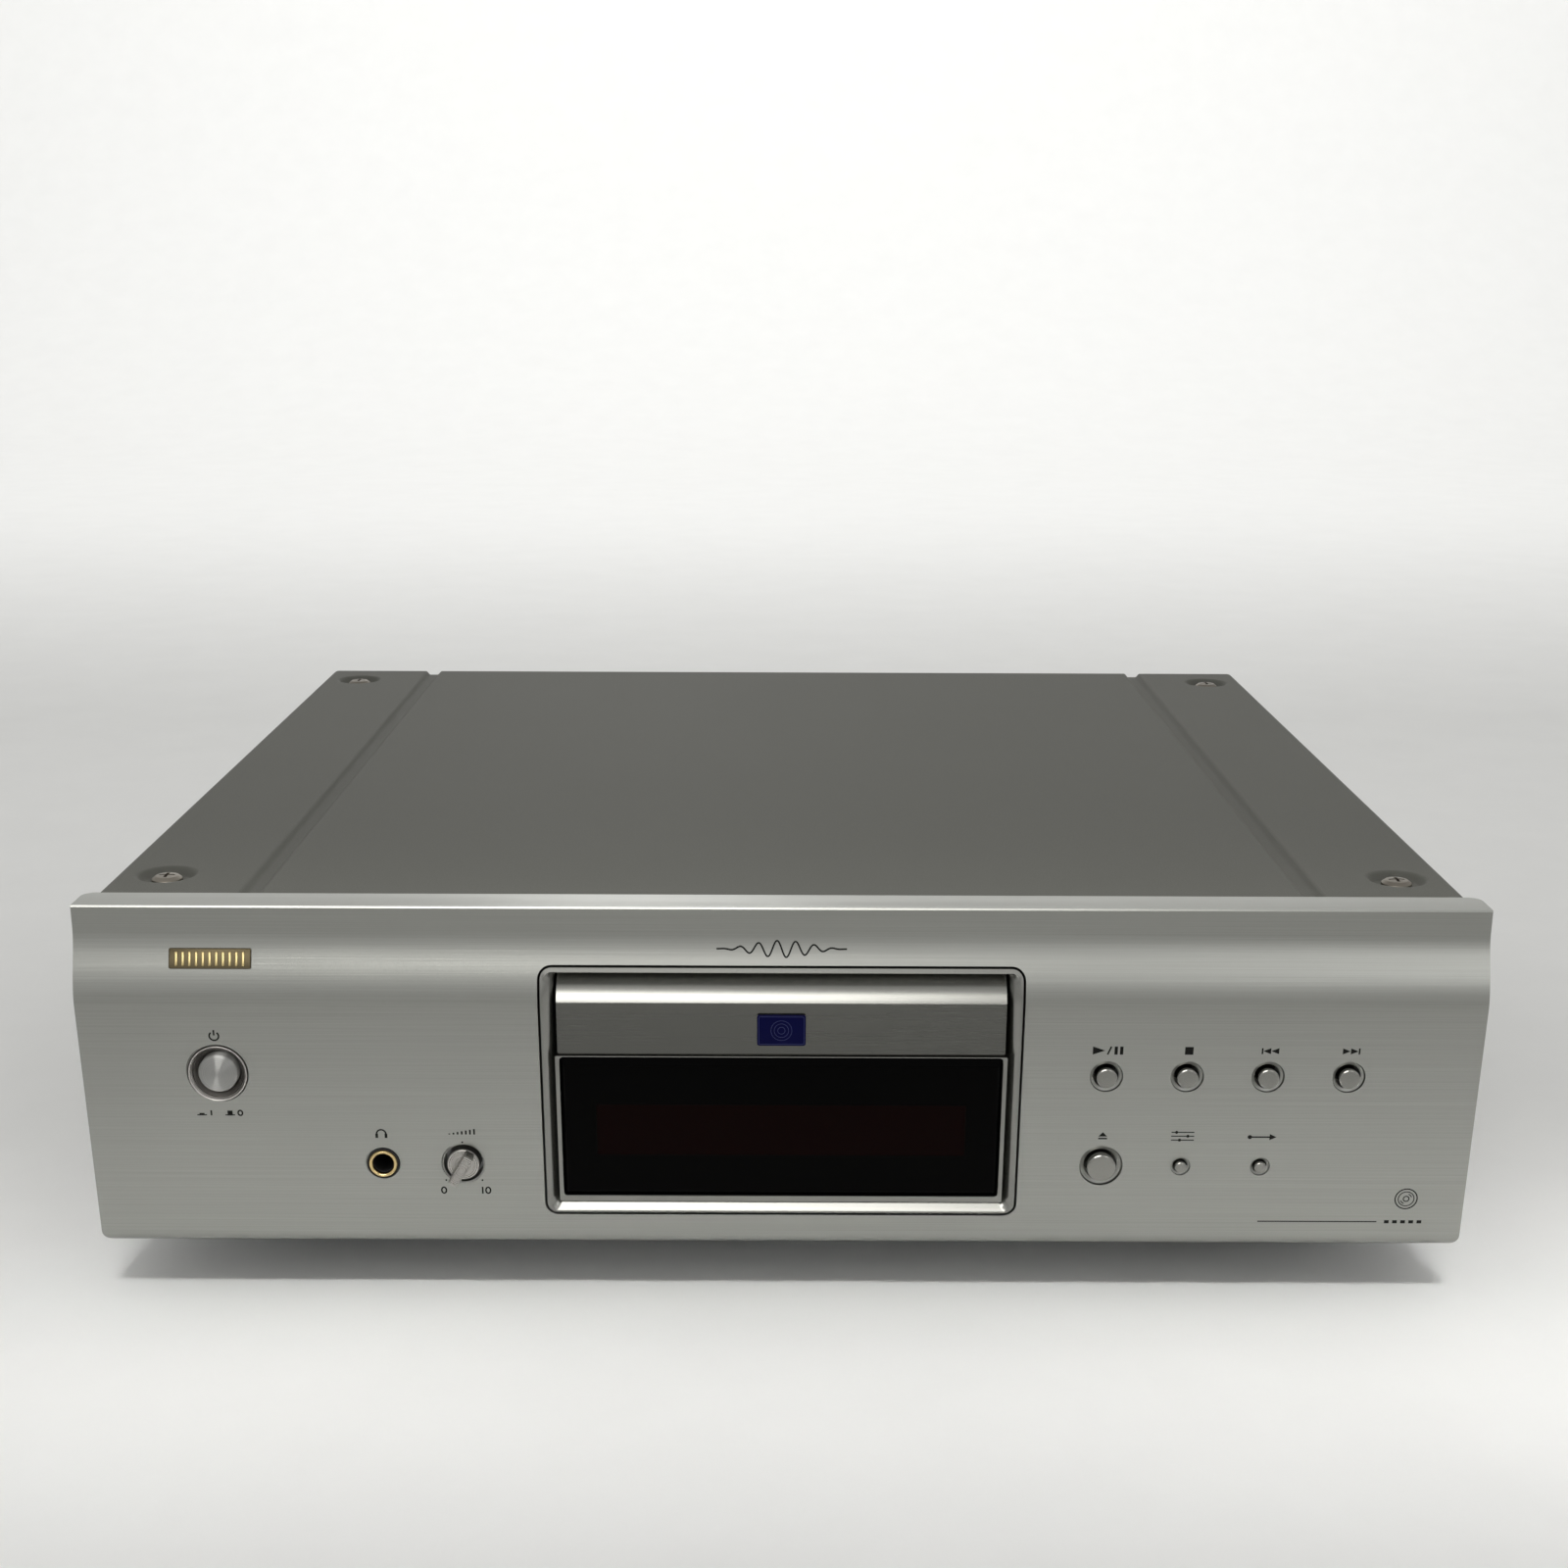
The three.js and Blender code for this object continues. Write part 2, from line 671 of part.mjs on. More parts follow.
// ---------------------------------------------------------------- chassis and feet
{
  const half = COVER_INSIDE - 1.5;
  const [y0, y1] = [-180, 193];
  const floor = FOOT_HEIGHT + GAP;
  const lip = 34;
  const section = polygon([
    [-half, floor],
    [half, floor],
    [half, lip],
    [half - SHEET, lip],
    [half - SHEET, floor + SHEET],
    [-half + SHEET, floor + SHEET],
    [-half + SHEET, lip],
    [-half, lip],
  ]);
  add("base_pan", alongY(section, y0, y1), MATERIALS.steel);

  const profile = [
    [0, 0],
    [21, 0],
    [22, 0.8],
    [22, 3],
    [FOOT_RADIUS - 1, 3],
    [FOOT_RADIUS, 4],
    [FOOT_RADIUS, 14.5],
    [FOOT_RADIUS - 2.5, FOOT_HEIGHT],
    [0, FOOT_HEIGHT],
  ];
  for (const end of ["front", "rear"])
    for (const [side, sign] of [["left", -1], ["right", 1]])
      add(`foot_${end}_${side}`, turnedUp(profile, 24), MATERIALS.rubber, [
        sign * FOOT_X,
        FOOT_YS[end],
        0,
      ]);
}

// ---------------------------------------------------------------- rear panel and sockets
const REAR_FACE = REAR_Y - 1.3; // outer face of the rear panel, just inside the cover's edge
const SLEEVE_END = KNOB_REACH - faceY(LOWER_ROW); // the sockets stand out as far as the knob does
const SOCKETS = {
  analog_jack_left: { x: 96, z: 84 },
  analog_jack_right: { x: 96, z: 62 },
  coaxial_jack: { x: 60, z: 62 },
};
const OPTICAL = { x: 60, z: 84 };
const INLET = { x: -150, z: 56, halfWidth: 12.2, halfHeight: 8.2 };
{
  const half = COVER_INSIDE - 0.6;
  const plate = box(-half, half, REAR_FACE - SHEET, REAR_FACE, 20, 126.6);
  const inletHole = box(INLET.x - 14, INLET.x + 14, 180, 200, INLET.z - 10, INLET.z + 10);
  const opticalHole = box(OPTICAL.x - 6, OPTICAL.x + 6, 180, 200, OPTICAL.z - 5.5, OPTICAL.z + 5.5);
  const holes = Object.values(SOCKETS).map(({ x, z }) => rodY(x, z, 5.4, 180, 200, 20));
  add("rear_panel", cut(plate, inletHole, opticalHole, ...holes), MATERIALS.coverPaint);

  for (const [name, { x, z }] of Object.entries(SOCKETS))
    add(
      name,
      turned(
        [
          [0, -16],
          [5, -16],
          [5, GAP],
          [6.4, GAP],
          [6.4, 2],
          [4.2, 2],
          [4.2, SLEEVE_END - REAR_FACE],
          [1.7, SLEEVE_END - REAR_FACE],
          [1.7, 0],
          [0, 0],
        ],
        16,
      ),
      name === "coaxial_jack" ? MATERIALS.gold : MATERIALS.steel,
      [x, REAR_FACE, z],
    );

  add(
    "optical_jack",
    join(
      box(OPTICAL.x - 5.6, OPTICAL.x + 5.6, REAR_FACE - 12, REAR_FACE + 4, OPTICAL.z - 5, OPTICAL.z + 5),
      box(OPTICAL.x - 3.6, OPTICAL.x + 3.6, REAR_FACE + 3, REAR_FACE + 8, OPTICAL.z - 3.6, OPTICAL.z + 3.6),
    ),
    MATERIALS.blackPlastic,
  );

  const { x, z, halfWidth, halfHeight } = INLET;
  const shell = join(
    box(x - 13.6, x + 13.6, REAR_FACE - 20, REAR_FACE + 2, z - 9.6, z + 9.6),
    box(x - 20, x + 20, REAR_FACE + GAP, REAR_FACE + 2.4, z - 11.5, z + 11.5),
  );
  const mouth = box(
    x - halfWidth,
    x + halfWidth,
    REAR_FACE - 15.5,
    REAR_FACE + 5,
    z - halfHeight,
    z + halfHeight,
  );
  const pins = [[-7, 2], [0, -2], [7, 2]].map(([dx, dz]) =>
    box(x + dx - 1, x + dx + 1, REAR_FACE - 16, REAR_FACE - 3.2, z + dz - 2, z + dz + 2),
  );
  add("ac_inlet", join(cut(shell, mouth), ...pins), MATERIALS.blackPlastic);
}

// ---------------------------------------------------------------- power and signal electronics
const FLOOR_TOP = FOOT_HEIGHT + GAP + SHEET; // inside of the base pan
{
  const bottom = FLOOR_TOP + GAP;
  add(
    "power_transformer",
    turnedUp([[0, 0], [50, 0], [50, 50], [46, 54], [10, 54], [10, 50], [0, 50]], 28),
    MATERIALS.transformerPaint,
    [-140, 95, bottom],
  );

  const boardBottom = FLOOR_TOP + 6;
  const boardTop = boardBottom + 1.6;
  const capacitor = (x, y, radius, height) =>
    rodZ(x, y, radius, boardTop - 0.5, boardTop + height, 16);
  add(
    "power_supply_board",
    join(
      box(-200, -88, -172, 28, boardBottom, boardTop),
      capacitor(-180, -60, 15, 48),
      capacitor(-144, -60, 15, 48),
      capacitor(-108, -60, 11, 36),
      capacitor(-180, -20, 9, 30),
      box(-160, -100, -132, -128, boardTop - 0.5, boardTop + 34),
    ),
    MATERIALS.circuitBoard,
  );
  add(
    "audio_board",
    join(
      box(88, 200, -150, 170, boardBottom, boardTop),
      capacitor(110, 110, 8, 26),
      capacitor(135, 110, 8, 26),
      capacitor(160, 110, 8, 26),
      box(110, 140, 20, 50, boardTop - 0.5, boardTop + 4),
      box(150, 178, -40, -12, boardTop - 0.5, boardTop + 4),
      box(105, 130, -90, -84, boardTop - 0.5, boardTop + 22),
    ),
    MATERIALS.circuitBoard,
  );
}

// ---------------------------------------------------------------- gears
// One involute spur gear outline in (x, y), with a tooth on the +X axis turned by `phase`.
function gearOutline(teeth, phase, bore) {
  const pressure = THREE.MathUtils.degToRad(20);
  const pitchRadius = (MODULE * teeth) / 2;
  const baseRadius = pitchRadius * Math.cos(pressure);
  const involute = (angle) => Math.tan(angle) - angle;
  const backlash = 0.16;
  const halfTooth = Math.PI / (2 * teeth) - backlash / (2 * pitchRadius);
  const halfAngle = (radius) =>
    radius <= baseRadius
      ? halfTooth + involute(pressure)
      : halfTooth + involute(pressure) - involute(Math.acos(baseRadius / radius));
  const radii = [
    pitchRadius - 1.2 * MODULE,
    Math.max(baseRadius, pitchRadius - 0.6 * MODULE),
    pitchRadius + 0.1 * MODULE,
    pitchRadius + 0.9 * MODULE,
  ];
  const points = [];
  for (let tooth = 0; tooth < teeth; tooth++) {
    const centre = phase + (tooth * 2 * Math.PI) / teeth;
    const flank = radii.map((radius) => [radius, halfAngle(radius)]);
    for (const [radius, half] of flank)
      points.push([radius * Math.cos(centre - half), radius * Math.sin(centre - half)]);
    for (const [radius, half] of flank.reverse())
      points.push([radius * Math.cos(centre + half), radius * Math.sin(centre + half)]);
  }
  const shape = polygon(points);
  const hole = new THREE.Path();
  hole.absarc(0, 0, bore, 0, 2 * Math.PI);
  shape.holes.push(hole);
  return shape;
}

// A rack along Y in (x, y): its teeth point to +X, and a space is centred on spaceY.
function rackOutline(pitchX, backX, y0, y1, spaceY) {
  const pitch = Math.PI * MODULE;
  const slope = Math.tan(THREE.MathUtils.degToRad(20));
  const halfTooth = pitch / 4 - 0.08;
  const tip = 0.9 * MODULE;
  const root = 1.2 * MODULE;
  const points = [
    [backX, y1],
    [backX, y0],
    [pitchX - root, y0],
  ];
  const first = Math.ceil((y0 - spaceY) / pitch + 0.5);
  const last = Math.floor((y1 - spaceY) / pitch - 1.5);
  for (let i = first; i <= last; i++) {
    const centre = spaceY + (i + 0.5) * pitch;
    points.push([pitchX - root, centre - halfTooth - root * slope]);
    points.push([pitchX + tip, centre - halfTooth + tip * slope]);
    points.push([pitchX + tip, centre + halfTooth - tip * slope]);
    points.push([pitchX - root, centre + halfTooth + root * slope]);
  }
  points.push([pitchX - root, y1]);
  return polygon(points);
}

// ---------------------------------------------------------------- loader frame and drive train
const trayGearX = RACK_X + (MODULE * TRAY_TEETH) / 2;
const beltPulleyX = trayGearX + (MODULE * (TRAY_TEETH + PINION_TEETH)) / 2;
const POST = 2;
const FRAME = { half: 72, inner: 66.5, front: -180.8, rear: 22, bottom: 60, top: 104 };
{
  const { half, inner, front, rear, bottom, top } = FRAME;
  const wall = (sign) =>
    join(
      box(Math.min(sign * inner, sign * half), Math.max(sign * inner, sign * half), front, rear, bottom, top),
      box(Math.min(sign * 63.4, sign * half), Math.max(sign * 63.4, sign * half), front, rear, 92, 94.2),
      box(Math.min(sign * 64.4, sign * half), Math.max(sign * 64.4, sign * half), front, rear, 99.2, 100.8),
    );
  const legs = [-1, 1].flatMap((sign) =>
    [-150, 8].map((y) => box(sign * 66 - 5, sign * 66 + 5, y, y + 10, FLOOR_TOP + GAP, bottom + 1)),
  );
  add(
    "loader_frame",
    join(
      box(-half, half, front, rear, bottom, bottom + 2),
      wall(-1),
      wall(1),
      box(-half, half, rear - 2, rear, bottom, 92),
      rodZ(trayGearX, GEAR_Y, POST, bottom + 1, 93.8, 12),
      rodZ(beltPulleyX, GEAR_Y, POST, bottom + 1, 88.6, 12),
      ...legs,
    ),
    MATERIALS.blackPlastic,
  );

  const bridge = box(-half, half, DISC_Y - 24, DISC_Y + 24, top + GAP, top + GAP + 2);
  const ribs = [-1, 1].map((sign) =>
    box(-half, half, DISC_Y + sign * 22.8 - 1.2, DISC_Y + sign * 22.8 + 1.2, top + 2, top + 6),
  );
  add(
    "clamp_bridge",
    cut(join(bridge, ...ribs), rodZ(0, DISC_Y, 13, top - 1, top + 5, 24)),
    MATERIALS.steel,
  );
  add(
    "clamper",
    turnedUp(
      [
        [0, 3],
        [8, 3],
        [8, 0],
        [11.5, 0],
        [11.5, 5.4],
        [17, 5.4],
        [17, 7.2],
        [12, 8],
        [0, 8],
      ],
      24,
    ),
    MATERIALS.blackPlastic,
    [0, DISC_Y, 101.2],
  );
}

const bore = POST + 0.4;
add(
  "tray_gear",
  alongZ(gearOutline(TRAY_TEETH, 0, bore), 0, 9.8, 3),
  MATERIALS.whitePlastic,
  [trayGearX, GEAR_Y, 84],
);
{
  const beltRadius = 12.2;
  const wheel = turnedUp(
    [
      [bore, 0],
      [beltRadius + 1, 0],
      [beltRadius + 1, 1],
      [beltRadius - 0.8, 1.6],
      [beltRadius - 0.8, 3.4],
      [beltRadius + 1, 4],
      [beltRadius + 1, 5],
      [bore, 5],
      [bore, 0],
    ],
    24,
  );
  const pinion = alongZ(gearOutline(PINION_TEETH, Math.PI / PINION_TEETH, bore), 4.5, 10, 3);
  add("belt_pulley", join(wheel, pinion), MATERIALS.whitePlastic, [beltPulleyX, GEAR_Y, 78.4]);

  const motorPulleyRadius = 3.5;
  add(
    "motor_pulley",
    turnedUp(
      [
        [1.3, 0],
        [4.5, 0],
        [4.5, 1],
        [2.9, 1.6],
        [2.9, 3.4],
        [4.5, 4],
        [4.5, 5],
        [1.3, 5],
        [1.3, 0],
      ],
      16,
    ),
    MATERIALS.whitePlastic,
    [MOTOR_X, GEAR_Y, 78.4],
  );
  add(
    "loading_motor",
    turnedUp([[0, 0], [11.8, 0], [11.8, 13], [3, 13], [3, 14.2], [1, 14.2], [1, 20.6], [0, 20.6]], 24),
    MATERIALS.steel,
    [MOTOR_X, GEAR_Y, FRAME.bottom + 2 + GAP],
  );

  // The belt's outline: two arcs joined by the outer tangents of the pulleys.
  const beltLine = (offset) => {
    const big = beltRadius - 0.4 + offset;
    const small = motorPulleyRadius - 0.2 + offset;
    const distance = MOTOR_X - beltPulleyX;
    const tangent = Math.acos((big - small) / distance);
    const shape = new THREE.Shape();
    shape.absarc(beltPulleyX, GEAR_Y, big, tangent, 2 * Math.PI - tangent);
    shape.absarc(MOTOR_X, GEAR_Y, small, -tangent, tangent);
    shape.closePath();
    return shape;
  };
  const outer = beltLine(1.1);
  outer.holes.push(new THREE.Path(beltLine(0).getPoints(8)));
  add("drive_belt", alongZ(outer, 80.2, 81.6, 8), MATERIALS.rubber);
}

// ---------------------------------------------------------------- tray and door
const tray = new THREE.Group();
part.add(tray);
{
  const { halfWidth, bottom, top } = TRAY;
  const front = TRAY_TRAVEL_START_Y;
  const plate = box(-halfWidth, halfWidth, front, TRAY_REAR_Y, bottom, top);
  const frontWall = box(-halfWidth, halfWidth, front, front + 2.6, 86, top);
  const rack = alongZ(
    rackOutline(RACK_X, RACK_X - 5, GEAR_Y - 8, GEAR_Y + 150, GEAR_Y),
    90.6,
    bottom + 0.5,
  );
  const slot = join(
    rodZ(0, DISC_Y, 18.5, 90, 100, 24),
    box(-17, 17, DISC_Y, DISC_Y + 69, 90, 100),
  );
  const wells = [
    rodZ(0, DISC_Y, DISC_RADIUS, top - 2.5, top + 2, 48),
    rodZ(0, DISC_Y, SMALL_DISC_RADIUS, top - 3.1, top + 2, 36),
  ];
  add(
    "disc_tray",
    cut(join(plate, frontWall, rack), slot, ...wells),
    MATERIALS.blackPlastic,
    undefined,
    tray,
  );
}
{
  const flatY = -199.6; // front of the door's flat lower part
  const roundDepth = 6;
  const roundHeight = 14;
  const start = THREE.MathUtils.degToRad(25);
  const end = THREE.MathUtils.degToRad(85);
  const round = [0, 1, 2, 3, 4, 5, 6].map((i) => {
    const angle = THREE.MathUtils.lerp(start, end, i / 6);
    return [
      flatY + roundDepth * (Math.cos(start) - Math.cos(angle)),
      DOOR.crease + roundHeight * (Math.sin(angle) - Math.sin(start)),
    ];
  });
  const topHeight = round.at(-1)[1];
  const side = polygon([
    [DOOR.back, DOOR.low],
    [DOOR.back, topHeight],
    ...round.reverse(),
    [flatY + 0.2, DOOR.low],
  ]);
  add(
    "tray_door",
    alongX(side, -DOOR.halfWidth, DOOR.halfWidth),
    MATERIALS.satinSilver,
    [0, 0, PANEL_BOTTOM],
    tray,
  );
  add(
    "door_emblem",
    alongY(roundedRectangle(-7.5, 7.5, -5, 5, 0.8), flatY - 0.8, flatY - GAP, 3),
    MATERIALS.emblemBlue,
    [0, 0, PANEL_BOTTOM + 74.8],
    tray,
  );
}

// ---------------------------------------------------------------- traverse: spindle and pickup
// Drawn in its lowered place; it rises 9 mm to lift a disc off the tray.
const traverse = new THREE.Group();
traverse.position.set(0, DISC_Y, 75);
part.add(traverse);
const SLED = { rodX: 17, rodZ: 5, start: 25, gearX: 28.5, gearY: 41.5 };
{
  const plate = box(-34, 38, -18, 78, 0, 3);
  const window = box(-23, 23, 17, 72, -1, 4);
  const rodHolder = (x, y) => box(x - 2.9, x + 2.9, y - 1.5, y + 1.5, 2, 8.4);
  const holders = [-SLED.rodX, SLED.rodX].flatMap((x) => [rodHolder(x, 15), rodHolder(x, 74)]);
  const rodHoles = [-SLED.rodX, SLED.rodX].map((x) => rodY(x, SLED.rodZ, 1.8, 10, 80, 12));
  const gearPost = rodZ(SLED.gearX, SLED.gearY, 1.6, 2, 7, 12);
  const motorHole = rodZ(0, 0, 5, -1, 4, 20);
  add(
    "traverse_plate",
    cut(join(plate, ...holders, gearPost), window, ...rodHoles, motorHole),
    MATERIALS.steel,
    undefined,
    traverse,
  );
  for (const [side, sign] of [["left", -1], ["right", 1]])
    add(
      `guide_rod_${side}`,
      rodY(sign * SLED.rodX, SLED.rodZ, 1.5, 13, 76, 12),
      MATERIALS.steel,
      undefined,
      traverse,
    );
  add(
    "spindle_motor",
    turnedUp([[0, -11.5], [12, -11.5], [12, -0.3], [4.6, -0.3], [4.6, 4], [1, 4], [1, 8], [0, 8]], 20),
    MATERIALS.zinc,
    undefined,
    traverse,
  );
  add(
    "turntable",
    turnedUp(
      [
        [1.3, 4.6],
        [5, 4.6],
        [6, 12],
        [14.5, 13],
        [14.5, 15.1],
        [7.4, 15.1],
        [6.4, 17],
        [4, 17.5],
        [0, 17.5],
        [0, 9],
        [1.3, 9],
        [1.3, 4.6],
      ],
      24,
    ),
    MATERIALS.blackPlastic,
    undefined,
    traverse,
  );

  const body = box(-21, 21, -7.7, 7.7, 3.4, 8.6);
  const rodChannels = [-SLED.rodX, SLED.rodX].map((x) => rodY(x, SLED.rodZ, 1.8, -20, 20, 12));
  const head = box(-9, 9, -7, 7, 8, 12.2);
  const lens = rodZ(0, 0, 3.2, 12, 12.9, 16);
  const rackReach = 20;
  const pitchX = SLED.gearX - (MODULE * PINION_TEETH) / 2;
  const rack = alongZ(
    rackOutline(pitchX, pitchX - 2.1, -rackReach, rackReach, SLED.gearY - SLED.start),
    4,
    7,
  );
  add(
    "pickup_sled",
    join(cut(body, ...rodChannels), head, lens, rack),
    MATERIALS.blackPlastic,
    [0, SLED.start, 0],
    traverse,
  );
  add(
    "sled_gear",
    alongZ(gearOutline(PINION_TEETH, 0, 2), 3.5, 7.2, 3),
    MATERIALS.whitePlastic,
    [SLED.gearX, SLED.gearY, 0],
    traverse,
  );
}

export default part;
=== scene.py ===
import json
import math

import bmesh
import bpy
from mathutils import Matrix, Vector


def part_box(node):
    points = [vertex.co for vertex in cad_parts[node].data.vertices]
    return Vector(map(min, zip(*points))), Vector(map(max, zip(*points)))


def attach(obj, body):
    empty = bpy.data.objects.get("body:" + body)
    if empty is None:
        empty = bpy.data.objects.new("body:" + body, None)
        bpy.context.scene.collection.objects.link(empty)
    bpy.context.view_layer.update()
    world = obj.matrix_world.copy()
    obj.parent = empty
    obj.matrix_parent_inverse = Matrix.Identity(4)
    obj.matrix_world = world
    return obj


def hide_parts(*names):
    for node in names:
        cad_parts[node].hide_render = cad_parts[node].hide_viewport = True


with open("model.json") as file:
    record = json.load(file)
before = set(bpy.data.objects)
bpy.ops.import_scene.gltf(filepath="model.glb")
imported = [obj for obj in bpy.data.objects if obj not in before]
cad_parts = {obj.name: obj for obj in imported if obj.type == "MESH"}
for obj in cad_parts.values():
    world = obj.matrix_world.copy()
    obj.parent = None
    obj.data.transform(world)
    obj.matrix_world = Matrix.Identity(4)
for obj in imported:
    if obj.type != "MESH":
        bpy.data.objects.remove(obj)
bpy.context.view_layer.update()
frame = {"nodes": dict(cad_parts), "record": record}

MM = 0.001  # lengths below are in millimetres, in the part's frame

# -------- dimensions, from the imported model
def box_mm(node):
    """The lowest and highest corners of a CAD node, in millimetres."""
    low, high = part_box(node)
    return low / MM, high / MM


def middle(node):
    """The middle of a CAD node's box, as (x, y, z) in millimetres."""
    return tuple((low + high) / 2 for low, high in zip(*box_mm(node)))


PANEL_LOW, PANEL_HIGH = box_mm("front_panel")
PANEL_BOTTOM = PANEL_LOW.z
PANEL_TOP = PANEL_HIGH.z
PANEL_BACK = PANEL_HIGH.y
HALF_WIDTH = PANEL_HIGH.x
WALL_BACK = -191.0  # y of the back of the panel's front wall
LEAN = 0.0646  # how far the face leans out per millimetre of height
SWEEP_TOP = 106.0  # heights above the panel's bottom
SHOULDER = 82.0
FACE_Y = PANEL_LOW.y + LEAN * SHOULDER  # plane of the top front edge

COVER_LOW, COVER_HIGH = box_mm("top_cover")
COVER_TOP = COVER_HIGH.z


def smoothstep(u):
    u = min(max(u, 0.0), 1.0)
    return u * u * (3 - 2 * u)


def bulge(height):
    """How far the face stands in front of the top edge, at a height above the panel's bottom."""
    return LEAN * height * smoothstep((SWEEP_TOP - height) / (SWEEP_TOP - SHOULDER))


def face_y(z):
    """The y of the panel's face at a height z in the part's frame."""
    return FACE_Y - bulge(z - PANEL_BOTTOM)


# -------- material helpers
def new_material(name, colour, roughness, metallic=0.0, **sockets):
    """A Principled material with constants on the shader's own sockets."""
    material = bpy.data.materials.new(name)
    material.use_nodes = True
    shader = material.node_tree.nodes["Principled BSDF"]
    shader.inputs["Base Color"].default_value = (*colour, 1.0)
    shader.inputs["Roughness"].default_value = roughness
    shader.inputs["Metallic"].default_value = metallic
    for socket, value in sockets.items():
        shader.inputs[socket.replace("_", " ")].default_value = value
    return material


def feed(material, socket, value):
    """Links an input to another node's output, or gives it a constant."""
    if isinstance(value, bpy.types.NodeSocket):
        material.node_tree.links.new(value, socket)
    else:
        socket.default_value = value


def add_node(material, kind, settings=None, **inputs):
    node = material.node_tree.nodes.new(f"ShaderNode{kind}")
    for key, value in (settings or {}).items():
        setattr(node, key, value)
    for key, value in inputs.items():
        feed(material, node.inputs[key.replace("_", " ")], value)
    return node


def maths(material, operation, *values, kind="Math", output=0):
    """The result of a maths node, with its inputs in order."""
    node = add_node(material, kind, {"operation": operation})
    for socket, value in zip(node.inputs, values):
        feed(material, socket, value)
    return node.outputs[output]


def object_space(material):
    return add_node(material, "TexCoord").outputs["Object"]


def connect(material, output, socket_name):
    shader = material.node_tree.nodes["Principled BSDF"]
    material.node_tree.links.new(output, shader.inputs[socket_name])


def grain(material, scale, detail=3.0, seed_shift=0.0):
    """Noise in object space. A scale of (x, y, z) per metre stretches it into a brushed grain."""
    mapped = add_node(
        material, "Mapping", Vector=object_space(material), Scale=scale, Location=(seed_shift,) * 3
    )
    noise = add_node(
        material, "TexNoise", Vector=mapped.outputs[0], Scale=1.0, Detail=detail, Roughness=0.6
    )
    return noise.outputs["Fac"]


def remap(material, value, low, high, from_low=0.3, from_high=0.7):
    ends = {"From_Min": from_low, "From_Max": from_high, "To_Min": low, "To_Max": high}
    return add_node(material, "MapRange", Value=value, **ends).outputs[0]


def tint(material, colour, value, spread):
    """The base colour, darker and lighter by `spread` as value goes from 0 to 1."""
    ramp = add_node(material, "ValToRGB", Fac=value)
    ends = ramp.color_ramp.elements
    ends[0].position, ends[1].position = 0.25, 0.75
    ends[0].color = (*[c * (1 - spread) for c in colour], 1.0)
    ends[1].color = (*[min(c * (1 + spread), 1.0) for c in colour], 1.0)
    connect(material, ramp.outputs[0], "Base Color")


def bump(material, *layers):
    """Stacks bump layers, each (value, distance in metres)."""
    normal = None
    for value, distance in layers:
        node = add_node(material, "Bump", Height=value, Distance=distance, Strength=1.0)
        if normal:
            feed(material, node.inputs["Normal"], normal)
        normal = node.outputs[0]
    connect(material, normal, "Normal")


def brushed(name, colour, roughness, line, along="x", depth=1.2e-5, spread=0.07, **sockets):
    """Metal brushed along one axis, with lines about `line` millimetres apart."""
    across, lengthways = 1.0 / (line * MM), 9.0  # waves per metre
    scale = tuple(lengthways if axis == along else across for axis in "xyz")
    material = new_material(name, colour, roughness, 1.0, **sockets)
    fine = grain(material, scale)
    coarse = grain(material, tuple(s * 0.28 for s in scale), 2.0, 3.1)
    smudge = grain(material, (14.0, 14.0, 14.0), 4.0, 7.7)
    tint(material, colour, fine, spread)
    mixed = add_node(material, "Mix", {"data_type": "FLOAT"})
    feed(material, mixed.inputs[2], coarse)
    feed(material, mixed.inputs[3], smudge)
    connect(material, remap(material, mixed.outputs[0], roughness * 0.92, roughness * 1.08), "Roughness")
    bump(material, (fine, depth), (coarse, depth * 0.8))
    return material


def moulded(name, colour, roughness, grain_size=0.35, depth=1.5e-5, spread=0.12, metallic=0.0, **sockets):
    """Plastic, rubber or paint with a fine even texture and soft unevenness in its gloss."""
    per_metre = 1.0 / (grain_size * MM)
    material = new_material(name, colour, roughness, metallic, **sockets)
    speckle = grain(material, (per_metre,) * 3, 2.0)
    cloud = grain(material, (22.0, 22.0, 22.0), 4.0, 5.3)
    tint(material, colour, cloud, spread)
    connect(material, remap(material, speckle, roughness * 0.9, min(roughness * 1.1, 1.0)), "Roughness")
    bump(material, (speckle, depth))
    return material


def spun(name, colour, roughness, centre, ring=0.22, depth=6e-6, **sockets):
    """Metal turned on a lathe about the Y axis through centre (x, z), with fine rings."""
    material = new_material(name, colour, roughness, 1.0, Anisotropic_Rotation=0.25, **sockets)
    shift = (-centre[0] * MM, 0.0, -centre[1] * MM)
    moved = add_node(material, "Mapping", Vector=object_space(material), Location=shift)
    flat = maths(material, "MULTIPLY", moved.outputs[0], (1.0, 0.0, 1.0), kind="VectorMath")
    radius = maths(material, "LENGTH", flat, kind="VectorMath", output="Value")
    per_metre = 1.0 / (ring * MM)
    along_radius = {"noise_dimensions": "1D"}
    noise = add_node(material, "TexNoise", along_radius, W=radius, Scale=per_metre, Detail=2.0)
    rings = noise.outputs["Fac"]
    tint(material, colour, rings, 0.1)
    tangent = add_node(material, "Tangent", {"direction_type": "RADIAL", "axis": "Y"})
    connect(material, tangent.outputs[0], "Tangent")
    connect(material, remap(material, rings, roughness * 0.8, roughness * 1.25), "Roughness")
    bump(material, (rings, depth))
    return material


